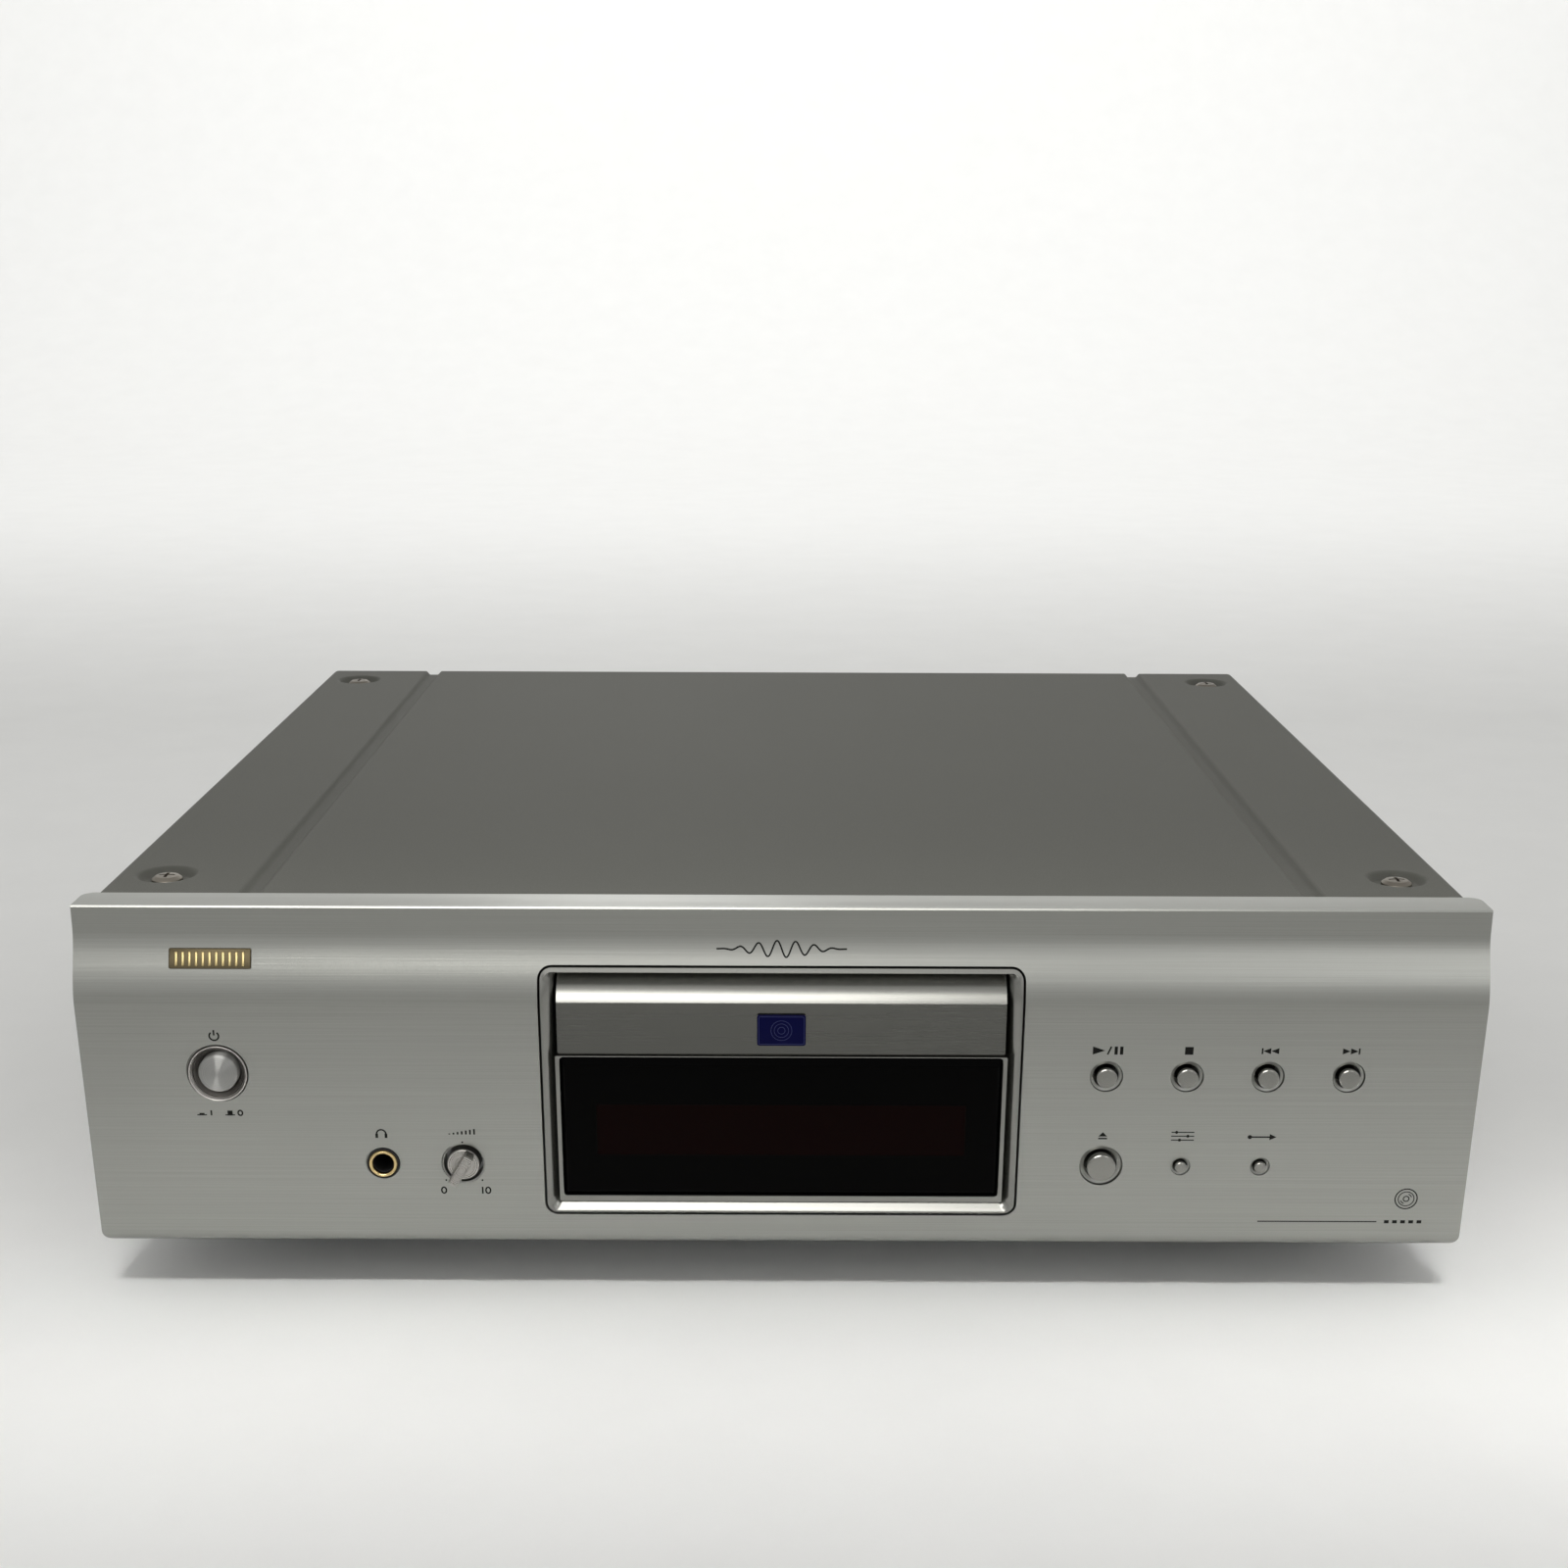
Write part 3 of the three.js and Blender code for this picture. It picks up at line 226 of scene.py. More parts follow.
# -------- materials
PANEL_METAL = brushed(
    "panel_metal", (0.325, 0.328, 0.308), 0.32, 0.16, depth=1.4e-5, spread=0.1, Anisotropic=0.5
)
BEZEL_METAL = brushed("bezel_metal", (0.24, 0.24, 0.225), 0.25, 0.3, depth=1.5e-6, spread=0.03)
DOOR_METAL = brushed("door_metal", (0.24, 0.24, 0.225), 0.25, 0.2, depth=1.5e-6, spread=0.02)
# Painted shade: the door's own metal made darker, for the dark reflection in its flat lower face
DOOR_FLAT_PAINTED_SHADE = brushed("door_flat_painted_shade", (0.125, 0.125, 0.116), 0.27, 0.2, depth=1.5e-6, spread=0.02)
RING_METAL = brushed("ring_metal", (0.21, 0.185, 0.18), 0.3, 0.3, depth=4e-6, spread=0.05)
STEEL = brushed("zinc_plated_steel", (0.46, 0.47, 0.47), 0.42, 0.5, depth=8e-6)
SCREW_METAL = moulded("screw_zinc", (0.22, 0.2, 0.17), 0.42, 0.3, 8e-6, 0.35, 1.0)
NICKEL = brushed("nickel_plate", (0.55, 0.54, 0.5), 0.22, 0.3, depth=2e-6, spread=0.05)
MOTOR_METAL = brushed("motor_can", (0.5, 0.5, 0.49), 0.3, 0.4, "z", depth=5e-6)
COVER_PAINT = moulded("cover_paint", (0.1, 0.1, 0.088), 0.6, 0.45, 3e-5, 0.01, Specular_IOR_Level=0.12)
BRONZE = brushed("bronze_plate", (0.07, 0.057, 0.034), 0.38, 0.25, depth=5e-6)
GOLD = brushed("gold_plate", (0.62, 0.48, 0.24), 0.2, 0.3, depth=2e-6, spread=0.05)
BADGE_GOLD = brushed("badge_gold", (0.3, 0.24, 0.12), 0.3, 0.3, depth=2e-6, spread=0.05)
BLACK_PLASTIC = moulded("black_plastic", (0.012, 0.012, 0.012), 0.48, 0.4)
DARK_TRAY = moulded("tray_plastic", (0.018, 0.018, 0.019), 0.42, 0.5, 2e-5)
WHITE_PLASTIC = moulded("acetal", (0.68, 0.67, 0.6), 0.42, 0.6)
RUBBER = moulded("rubber", (0.014, 0.014, 0.014), 0.82, 0.5, 3e-5)
TRANSFORMER_PAINT = moulded("transformer_paint", (0.025, 0.028, 0.036), 0.45, 0.8, 3e-5, 0.2, 0.3)
NAVY = moulded("emblem_navy", (0.0012, 0.0018, 0.03), 0.3, 0.4, 2e-6, 0.15, Specular_IOR_Level=0.05)
EMBLEM_LINE = brushed("emblem_line", (0.05, 0.055, 0.13), 0.35, 0.2, depth=2e-6)
INK = moulded("legend_ink", (0.006, 0.006, 0.0055), 0.6, 0.2, 2e-6, 0.2, Specular_IOR_Level=0.1)
GLASS_DARK = moulded("display_envelope", (0.02, 0.014, 0.013), 0.12, 1.0, 2e-6)


def smoked_acrylic():
    """Gloss black, with the dark red display just showing through in the middle."""
    colour = (0.0006, 0.0006, 0.0006)
    material = new_material("smoked_acrylic", colour, 0.06, IOR=1.49, Specular_IOR_Level=0.03)
    low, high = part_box("fluorescent_display")
    end_band, soft_edge = 2 * MM, 0.7 * MM
    parts = add_node(material, "SeparateXYZ", Vector=object_space(material)).outputs
    masks = []
    for output, start, end in ((parts[0], low.x + end_band, high.x - end_band), (parts[2], low.z, high.z)):
        half = (end - start) / 2
        offset = maths(material, "SUBTRACT", output, (start + end) / 2)
        distance = maths(material, "ABSOLUTE", offset)
        masks.append(remap(material, distance, 1.0, 0.0, half - soft_edge, half))
    inside = maths(material, "MULTIPLY", *masks)
    mesh = grain(material, (1400.0, 1400.0, 1400.0), 1.0)
    patch = maths(material, "MULTIPLY", inside, remap(material, mesh, 0.6, 1.0))
    ramp = add_node(material, "ValToRGB", Fac=patch)
    ramp.color_ramp.elements[0].color = (*colour, 1.0)
    ramp.color_ramp.elements[1].color = (0.0036, 0.0005, 0.0004, 1.0)
    connect(material, ramp.outputs[0], "Base Color")
    film = grain(material, (30.0, 30.0, 30.0), 3.0)
    connect(material, remap(material, film, 0.04, 0.1), "Roughness")
    return material


def circuit_board():
    """Green solder resist with paler copper tracks under it."""
    material = new_material("circuit_board", (0.02, 0.085, 0.03), 0.4)
    tracks = add_node(
        material, "TexBrick",
        Vector=object_space(material), Scale=110.0, Mortar_Size=0.06, Bias=0.0,
        Color1=(0.016, 0.075, 0.028, 1.0), Color2=(0.022, 0.095, 0.035, 1.0), Mortar=(0.06, 0.17, 0.05, 1.0),
    )
    connect(material, tracks.outputs["Color"], "Base Color")
    cloud = grain(material, (60.0, 60.0, 60.0), 2.0)
    connect(material, remap(material, cloud, 0.32, 0.5), "Roughness")
    bump(material, (tracks.outputs["Fac"], 4e-5))
    return material


ACRYLIC = smoked_acrylic()
CIRCUIT_BOARD = circuit_board()

# The finish of every CAD node that stays visible, by its material slot in the record.
SLOT_MATERIALS = {
    "brushed_aluminium": PANEL_METAL,
    "cover_paint": COVER_PAINT,
    "steel_sheet": STEEL,
    "satin_silver": BEZEL_METAL,
    "button_silver": BEZEL_METAL,
    "warm_silver": RING_METAL,
    "smoked_acrylic": ACRYLIC,
    "bronze": BRONZE,
    "gold": GOLD,
    "black_plastic": BLACK_PLASTIC,
    "white_plastic": WHITE_PLASTIC,
    "emblem_blue": NAVY,
    "circuit_board": CIRCUIT_BOARD,
    "display_glass": GLASS_DARK,
    "rubber": RUBBER,
    "transformer_paint": TRANSFORMER_PAINT,
    "zinc": MOTOR_METAL,
}


def soften_edges(piece, width):
    """Rounds a piece's sharp edges by a width in millimetres."""
    soften = piece.modifiers.new("edge", "BEVEL")
    soften.width = width * MM
    soften.segments = 2
    soften.limit_method = "ANGLE"
    soften.angle_limit = math.radians(50)


def finish_cad_nodes():
    for part in frame["record"]["subparts"]:
        node = frame["nodes"][part["node"]]
        node.data.materials.clear()
        node.data.materials.append(SLOT_MATERIALS[part["material_slot"]])
        soften_edges(node, 0.25)


# -------- mesh helpers
def smooth_by_angle(bm, degrees):
    limit = math.radians(degrees)
    for face in bm.faces:
        face.smooth = True
    for edge in bm.edges:
        edge.smooth = len(edge.link_faces) == 2 and edge.calc_face_angle(0.0) < limit


def scene_object(name, data):
    thing = bpy.data.objects.new(name, data)
    bpy.context.scene.collection.objects.link(thing)
    return thing


def mesh_object(name, bm):
    mesh = bpy.data.meshes.new(name)
    bm.to_mesh(mesh)
    bm.free()
    return scene_object(name, mesh)


def make_piece(name, bm, material, replaces=(), smooth=32.0, body="housing"):
    """A bmesh in millimetres becomes a named piece that rides a body."""
    bmesh.ops.recalc_face_normals(bm, faces=bm.faces)
    bmesh.ops.scale(bm, vec=(MM, MM, MM), verts=bm.verts)
    smooth_by_angle(bm, smooth)
    piece = mesh_object(name, bm)
    piece.data.materials.append(material)
    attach(piece, body)
    if replaces:
        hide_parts(*replaces)
    return piece


def arc_points(cx, cz, radius, start, end, steps, squash=1.0):
    """Points (x, z) along an arc about a centre, with its angles in degrees."""
    angles = [math.radians(start + (end - start) * i / steps) for i in range(steps + 1)]
    return [(cx + radius * squash * math.cos(a), cz + radius * math.sin(a)) for a in angles]


def circle_points(cx, cz, radius, steps, squash=1.0):
    return arc_points(cx, cz, radius, 0, 360, steps, squash)[:-1]


def rounded_rectangle(x0, x1, z0, z1, radius, steps=8):
    """The outline (x, z) of a rounded rectangle, anticlockwise from the lower right."""
    left, right, bottom, top = x0 + radius, x1 - radius, z0 + radius, z1 - radius
    corners = ((right, bottom, -90), (right, top, 0), (left, top, 90), (left, bottom, 180))
    points = []
    for x, z, start in corners:
        points += arc_points(x, z, radius, start, start + 90, steps)
    return points


def loft(loops, close_ends=True, ring=False):
    """A skin over loops of equal length; a ring joins its last loop to its first."""
    bm = bmesh.new()
    rows = [[bm.verts.new(p) for p in loop] for loop in loops]
    count = len(rows[0])
    pairs = list(zip(rows, rows[1:]))
    if ring:
        pairs.append((rows[-1], rows[0]))
    for a, b in pairs:
        for i in range(count):
            j = (i + 1) % count
            bm.faces.new((a[i], a[j], b[j], b[i]))
    if close_ends and not ring:
        bm.faces.new(rows[0][::-1])
        bm.faces.new(rows[-1])
    return bm


def lathe(profile, centre, segments=72, axis="-y"):
    """Turns [radius, height] points about an axis through centre. Heights run forward (-y) or up (z)."""
    cx, cy, cz = centre
    bm = bmesh.new()
    rows = []
    for radius, height in profile:
        if radius < 1e-6:
            spot = (cx, cy - height, cz) if axis == "-y" else (cx, cy, cz + height)
            rows.append([bm.verts.new(spot)])
            continue
        if axis == "-y":
            spots = [(x, cy - height, z) for x, z in circle_points(cx, cz, radius, segments)]
        else:
            spots = [(x, y, cz + height) for x, y in circle_points(cx, cy, radius, segments)]
        rows.append([bm.verts.new(spot) for spot in spots])
    closed = len(rows[0]) > 1
    pairs = list(zip(rows, rows[1:])) + ([(rows[-1], rows[0])] if closed else [])
    for a, b in pairs:
        for i in range(segments):
            j = (i + 1) % segments
            if len(a) == 1:
                bm.faces.new((a[0], b[j], b[i]))
            elif len(b) == 1:
                bm.faces.new((a[i], a[j], b[0]))
            else:
                bm.faces.new((a[i], a[j], b[j], b[i]))
    return bm


def rounded_profile(points, radius, steps=4):
    """Rounds the corners of a [radius, height] profile, other than its first and last points."""
    out = [points[0]]
    for before, corner, after in zip(points, points[1:], points[2:]):
        a, c, b = Vector(before), Vector(corner), Vector(after)
        reach = min(radius, (a - c).length * 0.45, (b - c).length * 0.45)
        start = c + (a - c).normalized() * reach
        end = c + (b - c).normalized() * reach
        for i in range(steps + 1):
            t = i / steps
            out.append(tuple(start * (1 - t) ** 2 + c * 2 * t * (1 - t) + end * t**2))
    out.append(points[-1])
    return out


def at_y(outline, y):
    return [(x, y, z) for x, z in outline]


def extrude_y(outline, y0, y1):
    return loft([at_y(outline, y0), at_y(outline, y1)])


def extrude_x(outline, x0, x1):
    return loft([[(x0, y, z) for y, z in outline], [(x1, y, z) for y, z in outline]])


def extrude_z(outline, z0, z1):
    return loft([[(x, y, z0) for x, y in outline], [(x, y, z1) for x, y in outline]])


def rearward(bm):
    """Mirrors a shape front to back, so that it faces the rear."""
    for vert in bm.verts:
        vert.co.y = -vert.co.y
    return bm


def block(x0, x1, y0, y1, z0, z1):
    return extrude_z([(x0, y0), (x1, y0), (x1, y1), (x0, y1)], z0, z1)


def boolean(target, tools, operation="DIFFERENCE"):
    """Applies boolean tools to a bmesh, with the exact solver."""
    def as_object(bm):
        bmesh.ops.recalc_face_normals(bm, faces=bm.faces)
        return mesh_object("scratch", bm)

    base = as_object(target)
    cutters = [as_object(tool) for tool in tools]
    for cutter in cutters:
        step = base.modifiers.new("boolean", "BOOLEAN")
        step.operation = operation
        step.object = cutter
        step.solver = "EXACT"
    bpy.context.view_layer.update()
    result = base.evaluated_get(bpy.context.evaluated_depsgraph_get())
    bm = bmesh.new()
    bm.from_mesh(result.data)
    for thing in [base, *cutters]:
        mesh = thing.data
        bpy.data.objects.remove(thing)
        bpy.data.meshes.remove(mesh)
    bmesh.ops.remove_doubles(bm, verts=bm.verts, dist=1e-4)
    return bm


# -------- front panel
TRANSPORT_BUTTONS = ("play_button", "stop_button", "previous_button", "next_button")
SMALL_BUTTONS = ("setup_button", "direct_button")
# Round controls: hole radius, and countersink radius at the face.
CONTROL_HOLES = {
    "power_ring": (9.5, 9.7),
    "headphone_jack": (5.3, 5.55),
    "level_knob": (6.3, 6.9),
    **dict.fromkeys(TRANSPORT_BUTTONS, (4.0, 5.15)),
    "eject_button": (5.2, 6.8),
    **dict.fromkeys(SMALL_BUTTONS, (2.3, 3.1)),
}
BEZEL_LOW, BEZEL_HIGH = box_mm("tray_bezel")
BEZEL_CORNER = 3.8


def control_centre(node):
    """A control's axis at the panel's face, as (x, y, z)."""
    turned = node == "level_knob"  # its blade sets its box, so its shaft gives the axis
    x, _, z = middle("level_control" if turned else node)
    return x, face_y(z), z


def panel_side():
    """The panel's side view, as (y, z) points, with a chamfered top edge and a rounded bottom edge."""
    chamfer_depth, chamfer_height, fillet = 0.3, 0.55, 5.0
    points = [
        (PANEL_BACK, PANEL_TOP),
        (FACE_Y + chamfer_depth, PANEL_TOP),
        (FACE_Y, PANEL_TOP - chamfer_height),
    ]
    steps = 36
    for i in range(steps + 1):
        z = PANEL_BOTTOM + SWEEP_TOP + (SHOULDER - SWEEP_TOP) * i / steps
        points.append((face_y(z), z))
    centre_y = face_y(PANEL_BOTTOM + fillet) + fillet
    points += arc_points(centre_y, PANEL_BOTTOM + fillet, fillet, 180, 270, 8)
    points.append((PANEL_BACK, PANEL_BOTTOM))
    return points


def front_panel():
    half, ahead, behind, beyond = HALF_WIDTH, -215, -170, 60  # cutters end clear of the panel
    blank = extrude_x(panel_side(), -half, half)
    low_corner, rear_corner = 4.5, 4.0
    front = rounded_rectangle(-half, half, PANEL_BOTTOM, PANEL_TOP + beyond, low_corner)
    plan = rounded_rectangle(-half, half, ahead - beyond, PANEL_BACK, rear_corner, 10)
    ends = [extrude_y(front, ahead, behind), extrude_z(plan, 0, PANEL_TOP + beyond)]
    blank = boolean(blank, ends, "INTERSECT")
    gap, side_wall, edge_wall = 0.5, 11, 6
    opening = rounded_rectangle(
        BEZEL_LOW.x - gap, BEZEL_HIGH.x + gap, BEZEL_LOW.z - gap, BEZEL_HIGH.z + gap, BEZEL_CORNER + gap
    )
    inside = half - side_wall
    cutters = [
        block(-inside, inside, WALL_BACK, PANEL_BACK + 2, PANEL_BOTTOM + edge_wall, PANEL_TOP - edge_wall),
        extrude_y(opening, ahead, behind),
    ]
    for node, (hole, sink) in CONTROL_HOLES.items():
        run = sink - hole
        profile = [
            (0, -14), (hole, -14), (hole, -1.15 * run), (sink - 0.2 * run, -0.9 * run), (sink, 0.0),
            (sink + 0.2, 0.35), (sink + 0.2, 4), (0, 4),
        ]
        cutters.append(lathe(profile, control_centre(node)))
    bm = boolean(blank, cutters)
    panel = make_piece("panel_face", bm, PANEL_METAL, ["front_panel"], 28)
    even = panel.modifiers.new("normals", "WEIGHTED_NORMAL")  # the large flat face keeps one normal
    even.weight = 100
    even.keep_sharp = True


# -------- bezel, window, door and emblem
def face_loop(half, low, high, radius, sink=0.0, y=None, pieces=1):
    """A rounded rectangle `sink` behind the panel's face, or at a fixed y. Tall sides are cut in pieces."""
    outline = rounded_rectangle(-half, half, low, high, radius)
    points = []
    for (x0, z0), (x1, z1) in zip(outline, outline[1:] + outline[:1]):
        count = pieces if abs(z1 - z0) > 40 else 1
        points += [(x0 + (x1 - x0) * i / count, z0 + (z1 - z0) * i / count) for i in range(count)]
    return [(x, face_y(z) + sink if y is None else y, z) for x, z in points]


def bezel():
    half, low, high, back = BEZEL_HIGH.x, BEZEL_LOW.z, BEZEL_HIGH.z, BEZEL_HIGH.y
    lip_back = WALL_BACK + 0.5

    def rim_loop(side, bottom, top, radius, sink=0.0, y=None):
        """A loop inset from the bezel's sides, bottom and top."""
        return face_loop(half - side, low + bottom, high - top, radius, sink, y, pieces=30)

    rim = [
        rim_loop(0.0, 0.0, 0.0, BEZEL_CORNER, y=back),
        rim_loop(0.0, 0.0, 0.0, BEZEL_CORNER, 0.5),
        rim_loop(0.3, 0.25, 0.25, 3.5),
        rim_loop(0.85, 0.9, 1.6, 3.0),
        rim_loop(1.3, 1.2, 1.75, 2.8, 0.25),
        rim_loop(2.0, 1.85, 1.85, 2.6, 0.67),
        rim_loop(3.0, 3.6, 1.95, 2.2, 1.8),
        rim_loop(4.0, 4.0, 2.1, 1.8, 2.95),
        rim_loop(4.25, 4.15, 2.25, 1.8, 3.9),
        rim_loop(4.3, 4.2, 2.3, 1.8, y=lip_back),
        rim_loop(4.3, 4.2, 2.3, 1.8, y=back),
    ]
    make_piece("bezel_rim", loft(rim, ring=True), BEZEL_METAL, ["tray_bezel"], 35)


def window_frame():
    """The narrow metal frame round the window, inside the bezel's channel."""
    window_low, window_high = box_mm("display_window")
    outer = (BEZEL_HIGH.x - 4.2, BEZEL_LOW.z + 4.1, window_high.z + 0.5, 0.6)
    inner = (window_high.x - 0.75, window_low.z - 0.15, window_high.z + 0.1, 1.2)
    soft, sink, back = 0.15, 0.1, WALL_BACK + 1.0

    def grown(edge, by):
        half, low, high, radius = edge
        return half + by, low - by, high + by, radius + by

    loops = [
        face_loop(*outer, y=back),
        face_loop(*outer, sink + soft),
        face_loop(*grown(outer, -soft), sink),
        face_loop(*grown(inner, soft), sink),
        face_loop(*inner, sink + soft),
        face_loop(*inner, y=back),
    ]
    make_piece("window_frame", loft(loops, ring=True), BEZEL_METAL, (), 35)


def display_window():
    """The smoked window, with sloping edges."""
    low, high = box_mm("display_window")
    left, right = low.x + 0.9, high.x - 0.9
    outline = rounded_rectangle(left, right, low.z, high.z, 1.0, 6)
    inner = rounded_rectangle(left + 1.3, right - 1.3, low.z + 1.6, high.z - 2.6, 0.8, 6)
    loops = [
        at_y(outline, high.y),
        [(x, face_y(z) + 1.0, z) for x, z in outline],
        [(x, face_y(z) - 0.15, z) for x, z in inner],
    ]
    bm = loft(loops)
    bmesh.ops.recalc_face_normals(bm, faces=bm.faces)
    rim = [e for e in bm.edges if 0.2 < e.calc_face_angle(0) and all(v.co.y < WALL_BACK for v in e.verts)]
    bmesh.ops.bevel(bm, geom=rim, offset=0.25, segments=3, affect="EDGES", clamp_overlap=True)
    make_piece("window_pane", bm, ACRYLIC, ["display_window"], 20)


def tray_door():
    """The tray's front: a flat lower part, and an upper part that curves back from a crease."""
    low, high = box_mm("tray_door")
    crease = PANEL_BOTTOM + 83.5
    flat_y, radius, start, end = low.y, 17.0, 22, 57  # the curve's angles are from the horizontal
    centre_y = flat_y + radius * math.cos(math.radians(start))
    centre_z = crease - radius * math.sin(math.radians(start))
    curve = arc_points(centre_y, centre_z, radius, 180 - end, 180 - start, 22)
    top = curve[0][1]
    side = [(high.y, low.z + 0.3), (high.y, top - 0.3), (high.y - 0.3, top), *curve]
    side += [
        (flat_y + 0.06, crease - 0.25), (flat_y + 0.2, low.z + 0.5), (flat_y + 0.45, low.z + 0.1),
        (flat_y + 0.8, low.z),
    ]
    bm = extrude_x(side, low.x, high.x)
    bmesh.ops.recalc_face_normals(bm, faces=bm.faces)
    ends = [e for e in bm.edges if abs(e.verts[0].co.x - e.verts[1].co.x) < 1e-6]
    bmesh.ops.bevel(bm, geom=ends, offset=0.3, segments=2, affect="EDGES", clamp_overlap=True)
    door = make_piece("tray_door_face", bm, DOOR_METAL, ["tray_door"], 22, "tray")
    # The second material paints shade onto the flat lower face; the real door has one finish
    door.data.materials.append(DOOR_FLAT_PAINTED_SHADE)
    for face in door.data.polygons:
        face.material_index = int(face.normal.y < -0.985)  # the flat part gets darker metal: painted shade standing in for the dark reflection it shows


def disc_tray():
    """The tray with smooth wells for both disc sizes, a slot for the pickup and a toothed rack."""
    low, high = box_mm("disc_tray")
    spindle_x, spindle_y, _ = middle("turntable")
    centre = (spindle_x, spindle_y, high.z)
    floor, front_wall = high.z - 4.3, 2.6
    front = block(low.x, high.x, low.y, low.y + front_wall, low.z, high.z - 1)
    plate = block(low.x, high.x, low.y, high.y, floor, high.z)
    blank = boolean(plate, [front, tray_rack(low, floor)], "UNION")
    cutters = []
    for radius, lip, depth in ((60.5, 61.1, 2.5), (40.5, 41.1, 3.1)):
        profile = [(0, -depth), (radius, -depth), (radius, -0.5), (lip, 0.0), (lip + 0.5, 0.5), (0, 0.5)]
        cutters.append(lathe(profile, centre, 144, "z"))
    hub_hole, slot_half, slot_length = 18.5, 17, 69
    cutters.append(lathe([(0, -20), (hub_hole, -20), (hub_hole, 5), (0, 5)], centre, 96, "z"))
    cutters.append(block(-slot_half, slot_half, spindle_y, spindle_y + slot_length, low.z - 1, high.z + 5))
    bm = boolean(blank, cutters)
    tray = make_piece("tray_shell", bm, DARK_TRAY, ["disc_tray"], 30, "tray")
    soften_edges(tray, 0.3)


def tray_rack(low, floor):
    """A straight gear rack below the tray's left edge, module 1."""
    pitch, teeth, length = math.pi, 50, 158
    back, root, tip, bottom = -61.0, -57.2, -55.1, low.z + 4.6
    start = low.y + 21.2
    outline = [(back, start + length), (back, start), (root, start)]
    for i in range(teeth):
        y = start + 0.2 + i * pitch
        outline += [(root, y), (tip, y + 0.75), (tip, y + 1.55), (root, y + 2.3)]
    outline.append((root, start + length))
    return extrude_z(outline, bottom, floor + 0.5)


def emblem():
    """A navy plaque with a border and three rings in low relief."""
    low, high = box_mm("door_emblem")

    def outline(inset, corner):
        return rounded_rectangle(low.x + inset, high.x - inset, low.z + inset, high.z - inset, corner, 5)

    plate = outline(0.0, 0.7)
    bm = loft([at_y(plate, high.y), at_y(plate, low.y + 0.2), at_y(outline(0.3, 0.5), low.y + 0.05)])
    make_piece("emblem_plate", bm, NAVY, ["door_emblem"], body="tray")
    cz = (low.z + high.z) / 2
    front, line, steps = low.y + 0.04, 0.16, 40
    for index, radius in enumerate((1.2, 2.3, 3.3)):
        outer = circle_points(0, cz, radius, steps)
        inner = circle_points(0, cz, radius - line, steps)
        relief(f"emblem_ring_{index}", outer, inner, front)
    relief("emblem_border", outline(0.45, 0.45), outline(0.6, 0.35), front)


def relief(name, outer, inner, front):
    """A thin raised line on the emblem, between two outlines."""
    back = front + 0.3
    loops = [at_y(outer, back), at_y(outer, front), at_y(inner, front), at_y(inner, back)]
    make_piece(name, loft(loops, ring=True), EMBLEM_LINE, body="tray")


# -------- badge
def badge():
    """A bronze plate with a row of equal gold bars."""
    cx, _, cz = middle("badge_plate")
    half_w, half_h = 12.6, 3.0
    slope = (face_y(cz + half_h) - face_y(cz - half_h)) / (2 * half_h)

    def slab(x, half_width, half_height, corners, inset, levels, steps):
        """A plate about x, its edge stepping in by inset from the second level to the third."""
        loops = []
        for level, corner, less in zip(levels, (corners[0], *corners), (0, 0, inset)):
            across, up = half_width - less, half_height - less
            outline = rounded_rectangle(x - across, x + across, -up, up, corner, steps)
            loops.append([(cx + u, face_y(cz) + slope * v - level, cz + v) for u, v in outline])
        return loft(loops)

    base = slab(0, half_w, half_h, (0.5, 0.4), 0.25, (-0.7, 0.35, 0.55), 4)
    make_piece("badge_base", base, BRONZE, ["badge_plate"])
    count, pitch, width, height = 11, 2.05, 0.95, 4.2
    for index in range(count):
        x = (index - (count - 1) / 2) * pitch
        bar = slab(x, width / 2, height / 2, (0.2, 0.1), 0.15, (0.5, 0.72, 0.85), 3)
        make_piece(f"badge_bar_{index}", bar, BADGE_GOLD)


# -------- round controls
# Push caps: radius, radius of the flat face, reach beyond the panel, radius of the hidden flange.
PUSH_CAPS = {
    **dict.fromkeys(TRANSPORT_BUTTONS, (3.2, 2.72, 1.6, 6.2)),
    "eject_button": (4.5, 4.0, 1.8, 7.2),
    **dict.fromkeys(SMALL_BUTTONS, (1.85, 1.45, 1.2, 3.8)),
}
FLANGE = 1.4  # thickness of a cap's flange, behind the panel's wall
PLAY = 0.3  # gap between the wall and the flange


def push_buttons():
    for node, (radius, face_radius, reach, flange) in PUSH_CAPS.items():
        body = node.removesuffix("_button")
        x, y, z = control_centre(node)
        behind = y - (WALL_BACK + PLAY)
        edge = (radius - face_radius) * 0.6
        profile = rounded_profile(
            [
                (0, behind - FLANGE), (flange, behind - FLANGE), (flange, behind), (radius, behind),
                (radius, reach - edge), (face_radius, reach), (0, reach),
            ],
            0.12,
        )
        finish = spun(f"spun_{body}", (0.27, 0.268, 0.25), 0.14, (x, z), Anisotropic=0.4)
        make_piece(f"{body}_cap", lathe(profile, (x, y, z)), finish, [node], 25, body)


